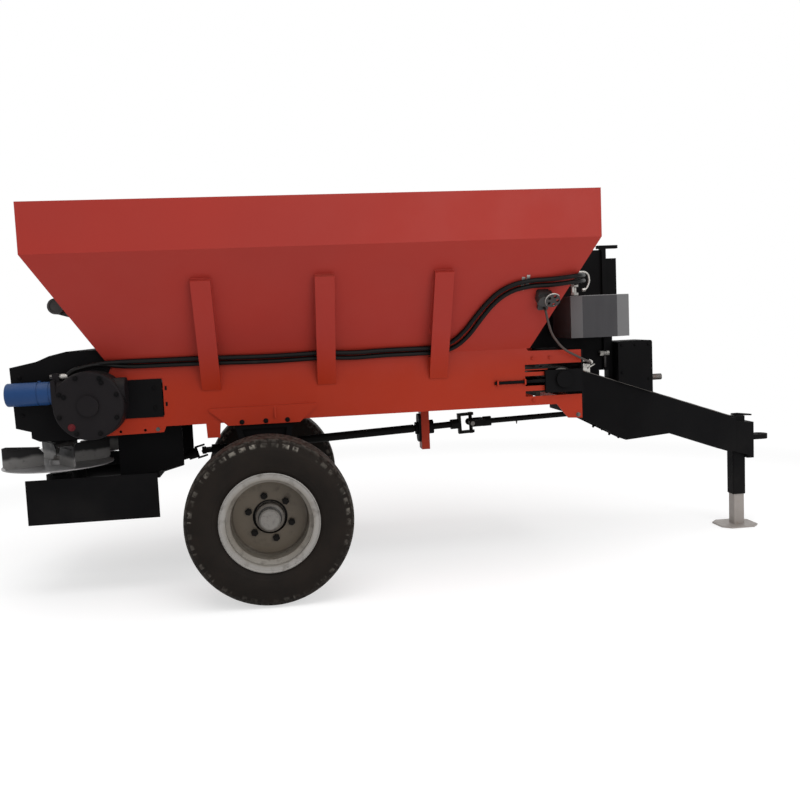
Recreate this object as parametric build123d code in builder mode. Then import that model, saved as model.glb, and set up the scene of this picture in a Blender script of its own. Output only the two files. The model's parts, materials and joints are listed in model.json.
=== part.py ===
"""Towed twin-disc manure spreader.

Millimetres. +X points forward to the tow eye, +Y to the machine's left, +Z up.
The origin lies on the ground at the middle of the machine's length and width.
"""

from build123d import *

import math
import os

# ---- driving dimensions -------------------------------------------------
# lengths measured along the machine are distances ahead of the axle
eye_reach = 2873  # tip of the tow tongue
tail_reach = 1285  # rear rim of the spinner discs, behind the axle
axle_x = (tail_reach - eye_reach) / 2

# wheels
tyre_radius = 387.5
tyre_width = 257
track = 1460
bead_radius = 203
flange_radius = 229
rim_width = 215
disc_recess = 144
stud_circle = 205
stud_count = 6

# hopper
hopper_rear = -1000
hopper_front = 1600
hopper_width = 1596
hopper_top = 1844
collar_height = 224
lip_width = 25
sheet = 4

# chassis trough
trough_width = 898
trough_top = 1103
trough_bottom = 812
side_sheet = 6
slope_rear_foot = -713
slope_front_foot = 1338
side_rear = -920
side_front = 1310
arm_front = 1606

# floor conveyor
conveyor_z = 940
roller_radius = 55
rear_roller = -800
front_roller = 1505
belt = 8
slat_height = 20
slat_pitch = 310
belt_side_gap = 13
floor_sheet = 4
outlet_width = 680
outlet_height = 80
roller_shaft = 25
idler_shaft = 20

# ribs
rib_places = (-250, 306, 863)
rib_width = 90
rib_top = 1495
rib_foot = 975
rib_sheet = 5

# spinner
disc_radius = 260
disc_spacing = 580
disc_x = disc_radius - tail_reach
disc_z = 636
disc_sheet = 5
vane_height = 108
vane_count = 4

# drive line: the joints lie on the centre plane
front_joint = (1115, 690)
rear_joint = (-345, 625)
input_end = (-470, 592)
front_shaft_end = (1890, 713)
shaft_radius = 17.5
tube_radius = 19
running_gap = 0.05
slide_gap = 0.1
pto_z = 890
pto_reach = 96

# drawbar
bar_half = 75
bar_sheet = 8

# jack
jack_x = 2684
jack_tube_side = 76
jack_tube_wall = 6
jack_tube_low = 185
jack_tube_high = 640
foot_length = 220
foot_width = 200
foot_sheet = 8

# fits
seat_gap = 0.3  # curved faces of two pieces that bear on each other
hose_radius = 11

# ---- values worked out from those above ---------------------------------
half_trough = trough_width / 2
half_hopper = hopper_width / 2
collar_bottom = hopper_top - collar_height
rise = collar_bottom - trough_top
side_run = half_hopper - half_trough
rear_run = slope_rear_foot - hopper_rear
front_run = hopper_front - slope_front_foot
inner_half = half_trough - side_sheet


def along(distance):
    """Place on the X axis of a point this far ahead of the axle."""
    return axle_x + distance


def level_skin(run):
    """Level thickness of a hopper sheet that leans out by run over the rise."""
    return sheet * math.hypot(rise, run) / rise


def slope_half(height, stand_off=0.0):
    """Half-width of the hopper at a height on its side slopes."""
    return half_trough + side_run * (height - trough_top) / rise + stand_off


def rear_slope(height):
    """Distance ahead of the axle of the rear slope's outer face at a height."""
    return slope_rear_foot - rear_run * (height - trough_top) / rise


def front_slope(height):
    return slope_front_foot + front_run * (height - trough_top) / rise


def block(x_span, y_span, z_span, mode=Mode.ADD):
    """Box between two places on each axis, X counted from the axle."""
    middle = (along(sum(x_span) / 2), sum(y_span) / 2, sum(z_span) / 2)
    with Locations(middle):
        Box(x_span[1] - x_span[0], y_span[1] - y_span[0], z_span[1] - z_span[0], mode=mode)


def plate(outline, y_span, mode=Mode.ADD, holes=()):
    """Outline in X and Z, from the axle and the ground, carried across y_span.

    holes lists (x, z, radius).
    """
    with BuildSketch(Plane.XZ.offset(-max(y_span))) as face:
        Polygon(*[(along(x), z) for x, z in outline], align=None)
        for x, z, radius in holes:
            with Locations((along(x), z)):
                Circle(radius, mode=Mode.SUBTRACT)
    extrude(face.sketch, amount=max(y_span) - min(y_span), mode=mode)


def cross_plate(outline, x_span, mode=Mode.ADD):
    """Outline in Y and Z carried along x_span."""
    with BuildSketch(Plane.YZ.offset(along(min(x_span)))) as face:
        Polygon(*outline, align=None)
    extrude(face.sketch, amount=max(x_span) - min(x_span), mode=mode)


def rod(start, end, radius, mode=Mode.ADD):
    """Round bar between two points whose X counts from the axle."""
    foot = Vector(along(start[0]), start[1], start[2])
    run = Vector(along(end[0]), end[1], end[2]) - foot
    with BuildSketch(Plane(origin=foot, z_dir=run)) as face:
        Circle(radius)
    extrude(face.sketch, amount=run.length, mode=mode)


def turned(profile, centre, mode=Mode.ADD):
    """Profile of (radius, y) turned about a cross axis through centre (x, z)."""
    x, z = along(centre[0]), centre[1]
    with BuildSketch(Plane(origin=(x, 0, z), x_dir=(1, 0, 0), z_dir=(0, 0, 1))) as face:
        Polygon(*profile, align=None)
    revolve(face.sketch, axis=Axis((x, 0, z), (0, 1, 0)), mode=mode)


# ---- hopper -------------------------------------------------------------
with BuildPart() as hopper_collar:
    with BuildSketch(Plane.XY.offset(collar_bottom)):
        with Locations((along((hopper_rear + hopper_front) / 2), 0)):
            Rectangle(hopper_front - hopper_rear, hopper_width)
            Rectangle(hopper_front - hopper_rear - 2 * sheet, hopper_width - 2 * sheet, mode=Mode.SUBTRACT)
    extrude(amount=collar_height)
    with BuildSketch(Plane.XY.offset(hopper_top - sheet)):
        with Locations((along((hopper_rear + hopper_front) / 2), 0)):
            Rectangle(hopper_front - hopper_rear, hopper_width)
            Rectangle(
                hopper_front - hopper_rear - 2 * lip_width, hopper_width - 2 * lip_width, mode=Mode.SUBTRACT
            )
    extrude(amount=sheet)


def funnel(right, left, rear, front, mode=Mode.ADD):
    """Body between trough and collar with its four slopes moved inwards by level amounts."""
    sections = []
    for height, back, ahead, half in (
        (trough_top, slope_rear_foot, slope_front_foot, half_trough),
        (collar_bottom, hopper_rear, hopper_front, half_hopper),
    ):
        x_low, x_high = along(back + rear), along(ahead - front)
        y_low, y_high = right - half, half - left
        with BuildSketch(Plane.XY.offset(height)) as section:
            with Locations(((x_low + x_high) / 2, (y_low + y_high) / 2)):
                Rectangle(x_high - x_low, y_high - y_low)
        sections.append(section.sketch)
    loft(sections, ruled=True, mode=mode)


side_skin = level_skin(side_run)
rear_skin = level_skin(rear_run)
front_skin = level_skin(front_run)

with BuildPart() as hopper_side_right:
    funnel(0, 0, 0, 0)
    funnel(side_skin, 0, 0, 0, mode=Mode.SUBTRACT)

with BuildPart() as hopper_side_left:
    funnel(0, 0, 0, 0)
    funnel(0, side_skin, 0, 0, mode=Mode.SUBTRACT)

with BuildPart() as hopper_front_slope:
    funnel(side_skin, side_skin, 0, 0)
    funnel(side_skin, side_skin, 0, front_skin, mode=Mode.SUBTRACT)

with BuildPart() as hopper_rear_slope:
    funnel(side_skin, side_skin, 0, 0)
    funnel(side_skin, side_skin, rear_skin, 0, mode=Mode.SUBTRACT)
    block(
        (hopper_rear, slope_rear_foot + 50),
        (-outlet_width / 2, outlet_width / 2),
        (trough_top - 1, trough_top + outlet_height),
        mode=Mode.SUBTRACT,
    )

# ribs: folded channels whose outer face cuts the corner between slope and trough
rib_depth_top = 28
rib_depth_foot = 6
hose_way = 92


def rib_face(height):
    """Distance from the middle plane of the ribs' outer face at a height."""
    face_top = slope_half(rib_top) + rib_depth_top
    face_foot = half_trough + rib_depth_foot
    return face_foot + (face_top - face_foot) * (height - rib_foot) / (rib_top - 12 - rib_foot)


with BuildPart() as hopper_ribs:
    for side in (-1, 1):
        shell = [
            (side * slope_half(rib_top), rib_top),
            (side * rib_face(rib_top - 12), rib_top - 12),
            (side * rib_face(rib_foot), rib_foot),
            (side * half_trough, rib_foot),
            (side * half_trough, trough_top),
        ]
        inside = [
            (side * (slope_half(rib_top) - 9), rib_top - 8),
            (side * (rib_face(rib_top - 20) - rib_sheet), rib_top - 20),
            (side * (rib_face(rib_foot + 60) - rib_sheet), rib_foot + 60),
            (side * (half_trough - 5), rib_foot + 60),
            (side * (half_trough - 5), trough_top),
        ]
        hose_hole = [
            (side * (half_trough - 5), trough_top - 20),
            (side * (half_trough - 5), trough_top + 2),
            (side * (slope_half(trough_top + hose_way) - 5), trough_top + hose_way),
            (side * (slope_half(trough_top + hose_way) + 40), trough_top + hose_way),
            (side * (half_trough + 86), trough_top + 27),
            (side * (half_trough + 60), trough_top - 20),
        ]
        for place in rib_places:
            cross_plate(shell, (place - rib_width / 2, place + rib_width / 2))
            cross_plate(
                inside,
                (place - rib_width / 2 + rib_sheet, place + rib_width / 2 - rib_sheet),
                mode=Mode.SUBTRACT,
            )
            cross_plate(hose_hole, (place - rib_width / 2 - 1, place + rib_width / 2 + 1), mode=Mode.SUBTRACT)

# tube across the rear slope, capped at both ends
tube_end = 550
tube_outer = 37
tube_z = 1403
tube_x = rear_slope(tube_z) - (tube_outer + seat_gap) * math.hypot(rise, rear_run) / rise
with BuildPart() as rear_tube:
    rod((tube_x, -tube_end, tube_z), (tube_x, tube_end, tube_z), tube_outer)
    for side in (-1, 1):
        with BuildSketch(Plane.XZ.offset(-side * tube_end)):
            with Locations((along(tube_x), tube_z)):
                Circle(tube_outer - 9)
        extrude(amount=side * 5, mode=Mode.SUBTRACT)
    for side in (-1, 1):
        for offset in (0, 300):
            foot = side * (tube_end - 60 - offset)
            plate(
                [
                    (rear_slope(tube_z - 62), tube_z - 62),
                    (rear_slope(tube_z - 30), tube_z - 30),
                    (tube_x - 5, tube_z - 20),
                    (tube_x - 12, tube_z - 34),
                ],
                (foot - 4, foot + 4),
            )

# ---- chassis ------------------------------------------------------------
notch_low = 865
notch_high = 1037
notch_front = -480
flange = 50
strip_low = 780
strip_front = -488
gusset_rear = 1472
gusset_low = 738
rod_z = 935
rod_radius = 8
upper_arm = (1020, 1085)
lower_arm = (820, 858)
guide_bars = ((886, 912), (962, 982))
side_outline = [
    (side_rear, notch_high),
    (notch_front, notch_high),
    (notch_front, notch_low),
    (-745, notch_low),
    (-790, notch_low - 30),
    (-775, strip_low),
    (strip_front, strip_low + 4),
    (strip_front + 12, trough_bottom),
    (gusset_rear, trough_bottom),
    (gusset_rear + 40, gusset_low + 22),
    (arm_front - 75, gusset_low),
    (arm_front, gusset_low - 4),
    (arm_front, lower_arm[1]),
    (side_front, lower_arm[1]),
    (side_front, guide_bars[0][0]),
    (arm_front - 5, guide_bars[0][0]),
    (arm_front - 5, guide_bars[0][1]),
    (side_front, guide_bars[0][1]),
    (side_front, guide_bars[1][0]),
    (arm_front - 5, guide_bars[1][0]),
    (arm_front - 5, guide_bars[1][1]),
    (side_front, guide_bars[1][1]),
    (side_front, upper_arm[0]),
    (arm_front, upper_arm[0]),
    (arm_front, upper_arm[1]),
    (side_front + 20, upper_arm[1] + 5),
    (side_front + 10, trough_top),
    (side_rear + 60, trough_top),
    (side_rear, trough_top - 30),
]


def chassis_side(side):
    """Side plate with its folded bottom flange and the four arms of the take-up."""
    outer, inner = side * half_trough, side * inner_half
    plate(
        side_outline,
        (outer, inner),
        holes=((-690, 797, 7), (-575, 798, 7), (-515, 799, 6), (arm_front - 22, gusset_low + 14, 7)),
    )
    block(
        (-770, gusset_rear),
        sorted((side * (half_trough - flange), inner)),
        (trough_bottom, trough_bottom + side_sheet),
    )
    for place in (1160, side_front - 8):
        block((place, place + 8), sorted((outer, side * (half_trough + 20))), (rod_z - 14, rod_z + 14))
        rod(
            (place - 1, side * (half_trough + 9), rod_z),
            (place + 9, side * (half_trough + 9), rod_z),
            rod_radius + seat_gap,
            mode=Mode.SUBTRACT,
        )


with BuildPart() as chassis_side_right:
    chassis_side(-1)

with BuildPart() as chassis_side_left:
    chassis_side(1)

cross_low = trough_bottom + side_sheet
cross_high = 850
with BuildPart() as chassis_crossmembers:
    for place in (-600, 0, 480, 852, 1540):
        block((place - 35, place + 35), (-inner_half, inner_half), (cross_low, cross_high))
        block(
            (place - 30, place + 30),
            (-inner_half - 1, inner_half + 1),
            (cross_low + 5, cross_high - 5),
            mode=Mode.SUBTRACT,
        )

# axle: square beam, two pedestals and the spindles that carry the hubs
beam_side = 80
pedestal_y = half_trough - 49
spindle_radius = 25
hub_inner = 610
hub_bore_end = 742
beam_end = hub_inner - 8
with BuildPart() as axle:
    block(
        (-beam_side / 2, beam_side / 2),
        (-beam_end, beam_end),
        (tyre_radius - beam_side / 2, tyre_radius + beam_side / 2),
    )
    for side in (-1, 1):
        rod(
            (0, side * beam_end, tyre_radius),
            (0, side * (hub_bore_end - 1), tyre_radius),
            spindle_radius,
        )
        foot = tyre_radius + beam_side / 2
        plate(
            [(-60, foot), (60, foot), (130, trough_bottom - 30), (130, trough_bottom), (-150, trough_bottom)]
            + [(-150, trough_bottom - 30)],
            (side * (pedestal_y - 30), side * (pedestal_y + 30)),
        )
        plate(
            [(-45, foot + 40), (45, foot + 40), (100, trough_bottom - 40), (-118, trough_bottom - 40)],
            (side * (pedestal_y - 31), side * (pedestal_y - 6)),
            mode=Mode.SUBTRACT,
        )
        plate(
            [(-45, foot + 40), (45, foot + 40), (100, trough_bottom - 40), (-118, trough_bottom - 40)],
            (side * (pedestal_y + 6), side * (pedestal_y + 31)),
            mode=Mode.SUBTRACT,
        )

bracket_sheet = 10
with BuildPart() as axle_brackets:
    for side in (-1, 1):
        plate(
            [(-182, 797), (166, 797), (250, 872), (250, 885), (-270, 885), (-270, 872)],
            (side * half_trough, side * (half_trough + bracket_sheet)),
            holes=((-115, 812, 8), (0, 812, 8), (105, 812, 8)),
        )
        plate(
            [(-287, 812), (-284, 742), (-224, 742), (-218, 812)],
            (side * (half_trough - 10), side * half_trough),
        )

# ---- floor conveyor -----------------------------------------------------
belt_inner = roller_radius + seat_gap
belt_width = 2 * (inner_half - belt_side_gap)
belt_outer = belt_inner + belt
floor_top = conveyor_z + belt_inner - 0.3


def stadium(radius):
    """Closed loop about both rollers, drawn in X and Z."""
    length = front_roller - rear_roller
    with Locations((along((front_roller + rear_roller) / 2), conveyor_z)):
        SlotCenterToCenter(length, 2 * radius)


slats_along = int((front_roller - rear_roller) // slat_pitch)
with BuildPart() as conveyor_belt:
    with BuildSketch(Plane.XZ.offset(-belt_width / 2)) as loop:
        stadium(belt_outer)
        for number in range(slats_along + 1):
            for top in (-1, 1):
                with Locations(
                    (
                        along(rear_roller + 10 + number * slat_pitch),
                        conveyor_z + top * (belt_outer + slat_height / 2 - 1),
                    )
                ):
                    Rectangle(24, slat_height + 2)
        with Locations((along((front_roller + rear_roller) / 2), conveyor_z)):
            SlotCenterToCenter(front_roller - rear_roller, 2 * belt_inner, mode=Mode.SUBTRACT)
    extrude(amount=belt_width)

with BuildPart() as conveyor_floor:
    block(
        (rear_roller + 75, front_roller - 75),
        (-inner_half, inner_half),
        (floor_top - floor_sheet, floor_top),
    )
    for place in (-450, 306, 1000):
        block((place - 20, place + 20), (-inner_half, inner_half), (floor_top - 34, floor_top - floor_sheet))

hood_sheet = 6
with BuildPart() as conveyor_rollers:
    for place, reach, shaft in (
        (rear_roller, half_trough + hood_sheet + 60, roller_shaft),
        (front_roller, half_trough + 35, idler_shaft),
    ):
        rod((place, -belt_width / 2, conveyor_z), (place, belt_width / 2, conveyor_z), roller_radius)
        rod((place, -reach, conveyor_z), (place, reach, conveyor_z), shaft)

takeup_length = 190
rod_rear = 1150
with BuildPart() as takeup_bearings:
    for side in (-1, 1):
        inner, outer = side * (half_trough - 12), side * (half_trough + 24)
        rod_y = side * (half_trough + 9)
        block(
            (front_roller - takeup_length / 2, front_roller + takeup_length / 2),
            sorted((side * half_trough, outer)),
            (guide_bars[0][0] - 12, guide_bars[1][1] + 6),
        )
        block(
            (front_roller - 60, front_roller + 60),
            sorted((inner, outer)),
            (guide_bars[0][1], guide_bars[1][0]),
        )
        rod((front_roller, outer, conveyor_z), (front_roller, side * (half_trough + 44), conveyor_z), 42)
        rod(
            (front_roller, side * (half_trough - 20), conveyor_z),
            (front_roller, side * (half_trough + 36), conveyor_z),
            idler_shaft + seat_gap,
            mode=Mode.SUBTRACT,
        )
        rod((rod_rear, rod_y, rod_z), (front_roller - 90, rod_y, rod_z), rod_radius)

# ---- rear discharge hood ------------------------------------------------
hood_rear = -1173
hood_top = 1192
hood_crest = [(-1173, 1127), (-1050, 1151), (-991, 1175), (-913, hood_top)]
hood_meet = rear_slope(hood_top) - 1
hood_side = hood_crest + [
    (hood_meet, hood_top),
    (rear_slope(trough_top + 2) - 1, trough_top + 2),
    (-745, notch_high + 6),
    (notch_front - 4, notch_high + 6),
    (notch_front - 4, notch_low - 6),
    (-760, notch_low - 6),
    (-760, 772),
    (-1061, 772),
    (-1097, 790),
    (-1097, 820),
    (-1165, 840),
]
with BuildPart() as discharge_hood:
    for side in (-1, 1):
        plate(
            hood_side,
            (side * half_trough, side * (half_trough + hood_sheet)),
            holes=((rear_roller, conveyor_z, roller_shaft + seat_gap),),
        )
    for (x_low, z_low), (x_high, z_high) in zip(hood_crest, hood_crest[1:] + [(hood_meet, hood_top)]):
        plate(
            [(x_low, z_low), (x_high, z_high), (x_high, z_high - 5), (x_low, z_low - 5)],
            (-half_trough, half_trough),
        )
    plate(
        [(-1173, 1127), (-1168, 1122), (-1160, 842), (-1165, 840)],
        (-half_trough, half_trough),
    )
    # flange bearing of the drive roller on the left
    rod(
        (rear_roller, half_trough + hood_sheet, conveyor_z),
        (rear_roller, half_trough + hood_sheet + 34, conveyor_z),
        70,
    )
    rod(
        (rear_roller, half_trough - 2, conveyor_z),
        (rear_roller, half_trough + hood_sheet + 35, conveyor_z),
        roller_shaft + seat_gap,
        mode=Mode.SUBTRACT,
    )

# worm reducer on the right-hand end of the drive roller, and its motor
case_radius = 160
case_near = half_trough + hood_sheet
case_far = case_near + 140
worm_z = conveyor_z + 64
worm_y = -(case_near + 75)
motor_radius = 54
motor_front = -962
port_face = -928
port_z = 1080
motor_rear = -1172
with BuildPart() as conveyor_reducer:
    with BuildSketch(Plane.XZ.offset(case_near)):
        with Locations((along(rear_roller), conveyor_z)):
            Circle(case_radius)
    extrude(amount=case_far - case_near)
    fillet(conveyor_reducer.edges().filter_by(GeomType.CIRCLE).sort_by(Axis.Y)[0], 14)
    rod((motor_front, worm_y, worm_z), (rear_roller + 165, worm_y, worm_z), 58)
    block((motor_front, motor_front + 20), (worm_y - 60, worm_y + 60), (worm_z - 60, worm_z + 60))
    block((port_face - 32, port_face), (worm_y - 26, worm_y + 26), (worm_z + 40, port_z + 14))
    rod((rear_roller, -case_far + 1, conveyor_z), (rear_roller, -case_far - 12, conveyor_z), 48)
    rod(
        (rear_roller, -case_near + 1, conveyor_z),
        (rear_roller, -case_near - 61, conveyor_z),
        roller_shaft + seat_gap,
        mode=Mode.SUBTRACT,
    )
    with BuildSketch(Plane.XZ.offset(case_far)):
        with Locations((along(rear_roller), conveyor_z)):
            with PolarLocations(case_radius - 22, 8, start_angle=20):
                Circle(9)
    extrude(amount=6)

with BuildPart() as hydraulic_motor:
    rod((motor_rear, worm_y, worm_z), (motor_front, worm_y, worm_z), motor_radius)
    fillet(hydraulic_motor.edges().filter_by(GeomType.CIRCLE).sort_by(Axis.X)[0], 9)
    for place in (motor_front - 68, motor_front - 16):
        with BuildSketch(Plane.YZ.offset(along(place))):
            with Locations((worm_y, worm_z)):
                Circle(motor_radius + 1)
                Circle(motor_radius - 2.5, mode=Mode.SUBTRACT)
        extrude(amount=5, mode=Mode.SUBTRACT)
    rod((motor_rear - 7, worm_y, worm_z), (motor_rear + 1, worm_y, worm_z), 9)
    rod((motor_front - 62, worm_y, worm_z + 40), (motor_front - 62, worm_y, worm_z + motor_radius + 6), 7)

# ---- spinner ------------------------------------------------------------
disc_side = disc_spacing / 2
deck_z = disc_z - 40  # top of the gearbox housings
hanger_y = 250
hanger_sheet = 8
arm_low = 440
guard_low = 375
guard_high = 590
guard_y = 470
guard_rear = -1140
guard_front = {-1: -530, 1: -670}
guard_cross = -700
guard_sheet = 5
hanger_front = -640
with BuildPart() as spinner_hangers:
    for side in (-1, 1):
        plate(
            [
                (-740, trough_bottom),
                (-425, trough_bottom),
                (-425, 590),
                (-560, 566),
                (hanger_front, 556),
                (hanger_front, arm_low),
                (guard_rear + guard_sheet, arm_low),
                (guard_rear + guard_sheet, 500),
                (-700, 500),
                (-740, 560),
            ],
            (side * hanger_y, side * (hanger_y + hanger_sheet)),
        )
        block((-740, -425), sorted((side * hanger_y, side * (hanger_y + 60))), (trough_bottom - 8, trough_bottom))
        block(
            (-740, -560),
            sorted((side * (hanger_y + 60), side * inner_half)),
            (trough_bottom - 8, trough_bottom),
        )

with BuildPart() as spinner_guard:
    for side in (-1, 1):
        block(
            (guard_rear, guard_front[side]),
            sorted((side * (guard_y - guard_sheet), side * guard_y)),
            (guard_low, guard_high),
        )
    for place, top in ((guard_rear, 500), (guard_cross, arm_low)):
        block(
            (place, place + guard_sheet),
            (-guard_y + guard_sheet, guard_y - guard_sheet),
            (guard_low, top),
        )

gear_low = 500
gear_high = 590
nose_length = 170
nose_radius = 44


def beyond(start, end, distance):
    """Point this far past end on the line from start, both (x, z) on the centre plane."""
    length = math.dist(start, end)
    return tuple(b + (b - a) * distance / length for a, b in zip(start, end))


def centre_rod(start, end, radius, mode=Mode.ADD):
    """Round bar between two (x, z) points of the centre plane."""
    rod((start[0], 0, start[1]), (end[0], 0, end[1]), radius, mode)


with BuildPart() as spinner_gearbox:
    block((disc_x - 42, disc_x + 42), (-disc_side, disc_side), (gear_low + 10, gear_high - 10))
    block((disc_x - 80, disc_x + 80), (-80, 80), (gear_low, gear_high))
    for side in (-1, 1):
        rod((disc_x, side * disc_side, gear_low), (disc_x, side * disc_side, gear_high), 62)
        rod((disc_x, side * disc_side, gear_high), (disc_x, side * disc_side, deck_z), 34)
        rod(
            (disc_x, side * disc_side, gear_low + 30),
            (disc_x, side * disc_side, deck_z + 1),
            shaft_radius + running_gap,
            mode=Mode.SUBTRACT,
        )
    centre_rod((disc_x + 79, 545), (-600, 556), 30)
    centre_rod(beyond(rear_joint, input_end, nose_length), input_end, nose_radius)
    block((-610, -550), (-hanger_y, hanger_y), (532, 572))
    centre_rod(
        beyond(rear_joint, input_end, 60),
        beyond(rear_joint, input_end, -5),
        shaft_radius + running_gap,
        mode=Mode.SUBTRACT,
    )

# ---- bracket and bearing of the drive shaft -----------------------------
bracket_x = 852
main_slope = (front_joint[1] - rear_joint[1]) / (front_joint[0] - rear_joint[0])


def on_main(distance):
    """Point (x, z) of the long shaft's axis at a distance ahead of the axle."""
    return (distance, rear_joint[1] + main_slope * (distance - rear_joint[0]))


bracket_z = on_main(bracket_x)[1]
bracket_low = 562
bearing_seat = 34
with BuildPart() as shaft_bracket:
    block((bracket_x - 22, bracket_x + 22), (-45, 45), (bracket_low, cross_low))
    block((bracket_x - 17, bracket_x + 23), (-40, 40), (bracket_low + 6, cross_low - 8), mode=Mode.SUBTRACT)
    centre_rod(on_main(bracket_x - 40), on_main(bracket_x), bearing_seat, mode=Mode.SUBTRACT)

with BuildPart() as shaft_bearing:
    with BuildSketch(Plane.YZ.offset(along(bracket_x - 22))):
        with Locations((0, bracket_z)):
            RectangleRounded(96, 152, 28)
    extrude(amount=-14)
    centre_rod(on_main(bracket_x - 50), on_main(bracket_x + 50), bearing_seat - seat_gap)
    centre_rod(on_main(bracket_x - 12), on_main(bracket_x + 50), 38)
    centre_rod(
        on_main(bracket_x - 60), on_main(bracket_x + 60), shaft_radius + running_gap, mode=Mode.SUBTRACT
    )

# ---- drawbar ------------------------------------------------------------
top_anchor = (1740, 953)
top_fall = -0.3473
bar_end = jack_x - jack_tube_side / 2
head_sheet = 10
head_tongue = 110
bar_rear = arm_front + head_sheet


def bar_top(distance):
    """Height of the beam's top face."""
    return top_anchor[1] + top_fall * (distance - top_anchor[0])


bar_bottom = [(bar_rear, 742), (1733, 683), (1987, 548), (2248, 570), (2598, 445), (bar_end, 442)]
case_rear = 1938
case_front = 2136
lower_case_rear = 1868
lower_case_front = 2090
post_rear = case_rear - 50
with BuildPart() as drawbar:
    nose = [(bar_end, 636), (2606, 640), (2600, bar_top(2600))]
    for side in (-1, 1):
        plate(
            bar_bottom + nose + [(bar_rear, bar_top(bar_rear))],
            (side * bar_half, side * (bar_half - bar_sheet)),
        )
    for start, end in ((bar_rear, case_rear + 8), (case_front - 8, 2600)):
        plate(
            [(start, bar_top(start)), (end, bar_top(end)), (end, bar_top(end) - 8), (start, bar_top(start) - 8)],
            (-bar_half + bar_sheet, bar_half - bar_sheet),
        )
    for (x_low, z_low), (x_high, z_high) in ((bar_bottom[2], bar_bottom[3]), (bar_bottom[3], bar_bottom[4])):
        plate(
            [(x_low, z_low), (x_high, z_high), (x_high, z_high + 8), (x_low, z_low + 8)],
            (-bar_half + bar_sheet, bar_half - bar_sheet),
        )
    block((arm_front, bar_rear), (-half_trough, half_trough), (trough_bottom, upper_arm[1]))
    block((arm_front, bar_rear), (-head_tongue, head_tongue), (bar_bottom[0][1] - 6, trough_bottom + 1))

# hitch: cheeks past the jack tube, nose block and the tongue with its eye
tongue_low = 499
tongue_high = 527
eye_radius = 17
tongue_half = 45
eye_x = eye_reach - tongue_half
nose_rear = jack_x + jack_tube_side / 2
nose_front = 2764
with BuildPart() as tow_hitch:
    block((nose_rear, nose_front), (-60, 60), (397, 604))
    fillet(tow_hitch.edges().filter_by(Axis.Z), 6)
    for side in (-1, 1):
        plate(
            [(2600, 452), (nose_front - 20, 410), (nose_front - 20, 600), (2600, 626)],
            (side * (jack_tube_side / 2), side * (bar_half - bar_sheet)),
        )
    with BuildSketch(Plane.XY.offset(tongue_low)):
        with Locations((along((nose_front + eye_x) / 2), 0)):
            Rectangle(eye_x - nose_front + 2, 2 * tongue_half)
        with Locations((along(eye_x), 0)):
            Circle(tongue_half)
            Circle(eye_radius, mode=Mode.SUBTRACT)
    extrude(amount=tongue_high - tongue_low)

# ---- jack ---------------------------------------------------------------
with BuildPart() as jack_tube:
    with BuildSketch(Plane.XY.offset(jack_tube_low)):
        with Locations((along(jack_x), 0)):
            RectangleRounded(jack_tube_side, jack_tube_side, 8)
            RectangleRounded(
                jack_tube_side - 2 * jack_tube_wall, jack_tube_side - 2 * jack_tube_wall, 4, mode=Mode.SUBTRACT
            )
    extrude(amount=jack_tube_high - jack_tube_low)
    block((jack_x - 36, jack_x + 36), (-36, 36), (jack_tube_high - 12, jack_tube_high))
    rod((jack_x + 10, 0, jack_tube_high - 2), (jack_x + 10, 0, jack_tube_high + 10), 16)
    plate(
        [(jack_x - 26, 646), (jack_x + 6, 640), (jack_x + 26, 640), (jack_x + 92, 636), (jack_x + 94, 644)]
        + [(jack_x + 14, 654), (jack_x - 24, 653)],
        (-11, 11),
    )

jack_leg_side = jack_tube_side - 2 * (jack_tube_wall + slide_gap)
with BuildPart() as jack_leg:
    with BuildSketch(Plane.XY.offset(foot_sheet)):
        with Locations((along(jack_x), 0)):
            RectangleRounded(jack_leg_side, jack_leg_side, 6)
    extrude(amount=410 - foot_sheet)
    with BuildSketch(Plane.XY):
        with Locations((along(jack_x - 12), 0)):
            Rectangle(foot_length, foot_width)
    extrude(amount=foot_sheet)
    long_edges = jack_leg.edges().filter_by(Axis.Z).filter_by(lambda edge: edge.length < foot_sheet + 1)
    chamfer(long_edges, 42)

# ---- PTO gearbox on the drawbar -----------------------------------------
case_top = 1105
case_half = 110
seal_height = 10
journal_radius = 15
with BuildPart() as pto_gearbox:
    plate(
        [
            (case_rear, bar_top(case_rear)),
            (case_front, bar_top(case_front)),
            (case_front, case_top),
            (case_rear, case_top),
        ],
        (-case_half, case_half),
    )
    fillet(pto_gearbox.edges().filter_by(Axis.Y).sort_by(Axis.Z)[-2:], 12)
    plate(
        [
            (case_rear + 10, bar_top(case_rear + 10) + 2),
            (lower_case_front, bar_top(lower_case_front) + 2),
            (lower_case_front, 640),
            (lower_case_rear, 640),
            (lower_case_rear, 780),
            (case_rear + 10, 780),
        ],
        (-55, 55),
    )
    rod((case_front - 1, 0, pto_z), (case_front + seal_height, 0, pto_z), 30)
    rod(
        (case_front - 60, 0, pto_z),
        (case_front + seal_height + 1, 0, pto_z),
        journal_radius + running_gap,
        mode=Mode.SUBTRACT,
    )
    centre_rod(
        beyond(front_joint, front_shaft_end, -40),
        beyond(front_joint, front_shaft_end, 40),
        shaft_radius + running_gap,
        mode=Mode.SUBTRACT,
    )

groove_width = 4
with BuildPart() as pto_stub:
    rod((case_front - 59, 0, pto_z), (case_front + seal_height + 5, 0, pto_z), journal_radius)
    rod((case_front + seal_height + 5, 0, pto_z), (case_front + pto_reach, 0, pto_z), shaft_radius)
    with BuildSketch(Plane.YZ.offset(along(case_front + seal_height + 5))):
        with Locations((0, pto_z)):
            with PolarLocations(shaft_radius, 6):
                Rectangle(5, groove_width)
    extrude(amount=pto_reach, mode=Mode.SUBTRACT)


# ---- drive shafts and their universal joints ----------------------------
ear_gap = 42
ear_outer = 56
ear_radius = 19
rear_scale = 0.6  # the rear joint is smaller than the front one


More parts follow.
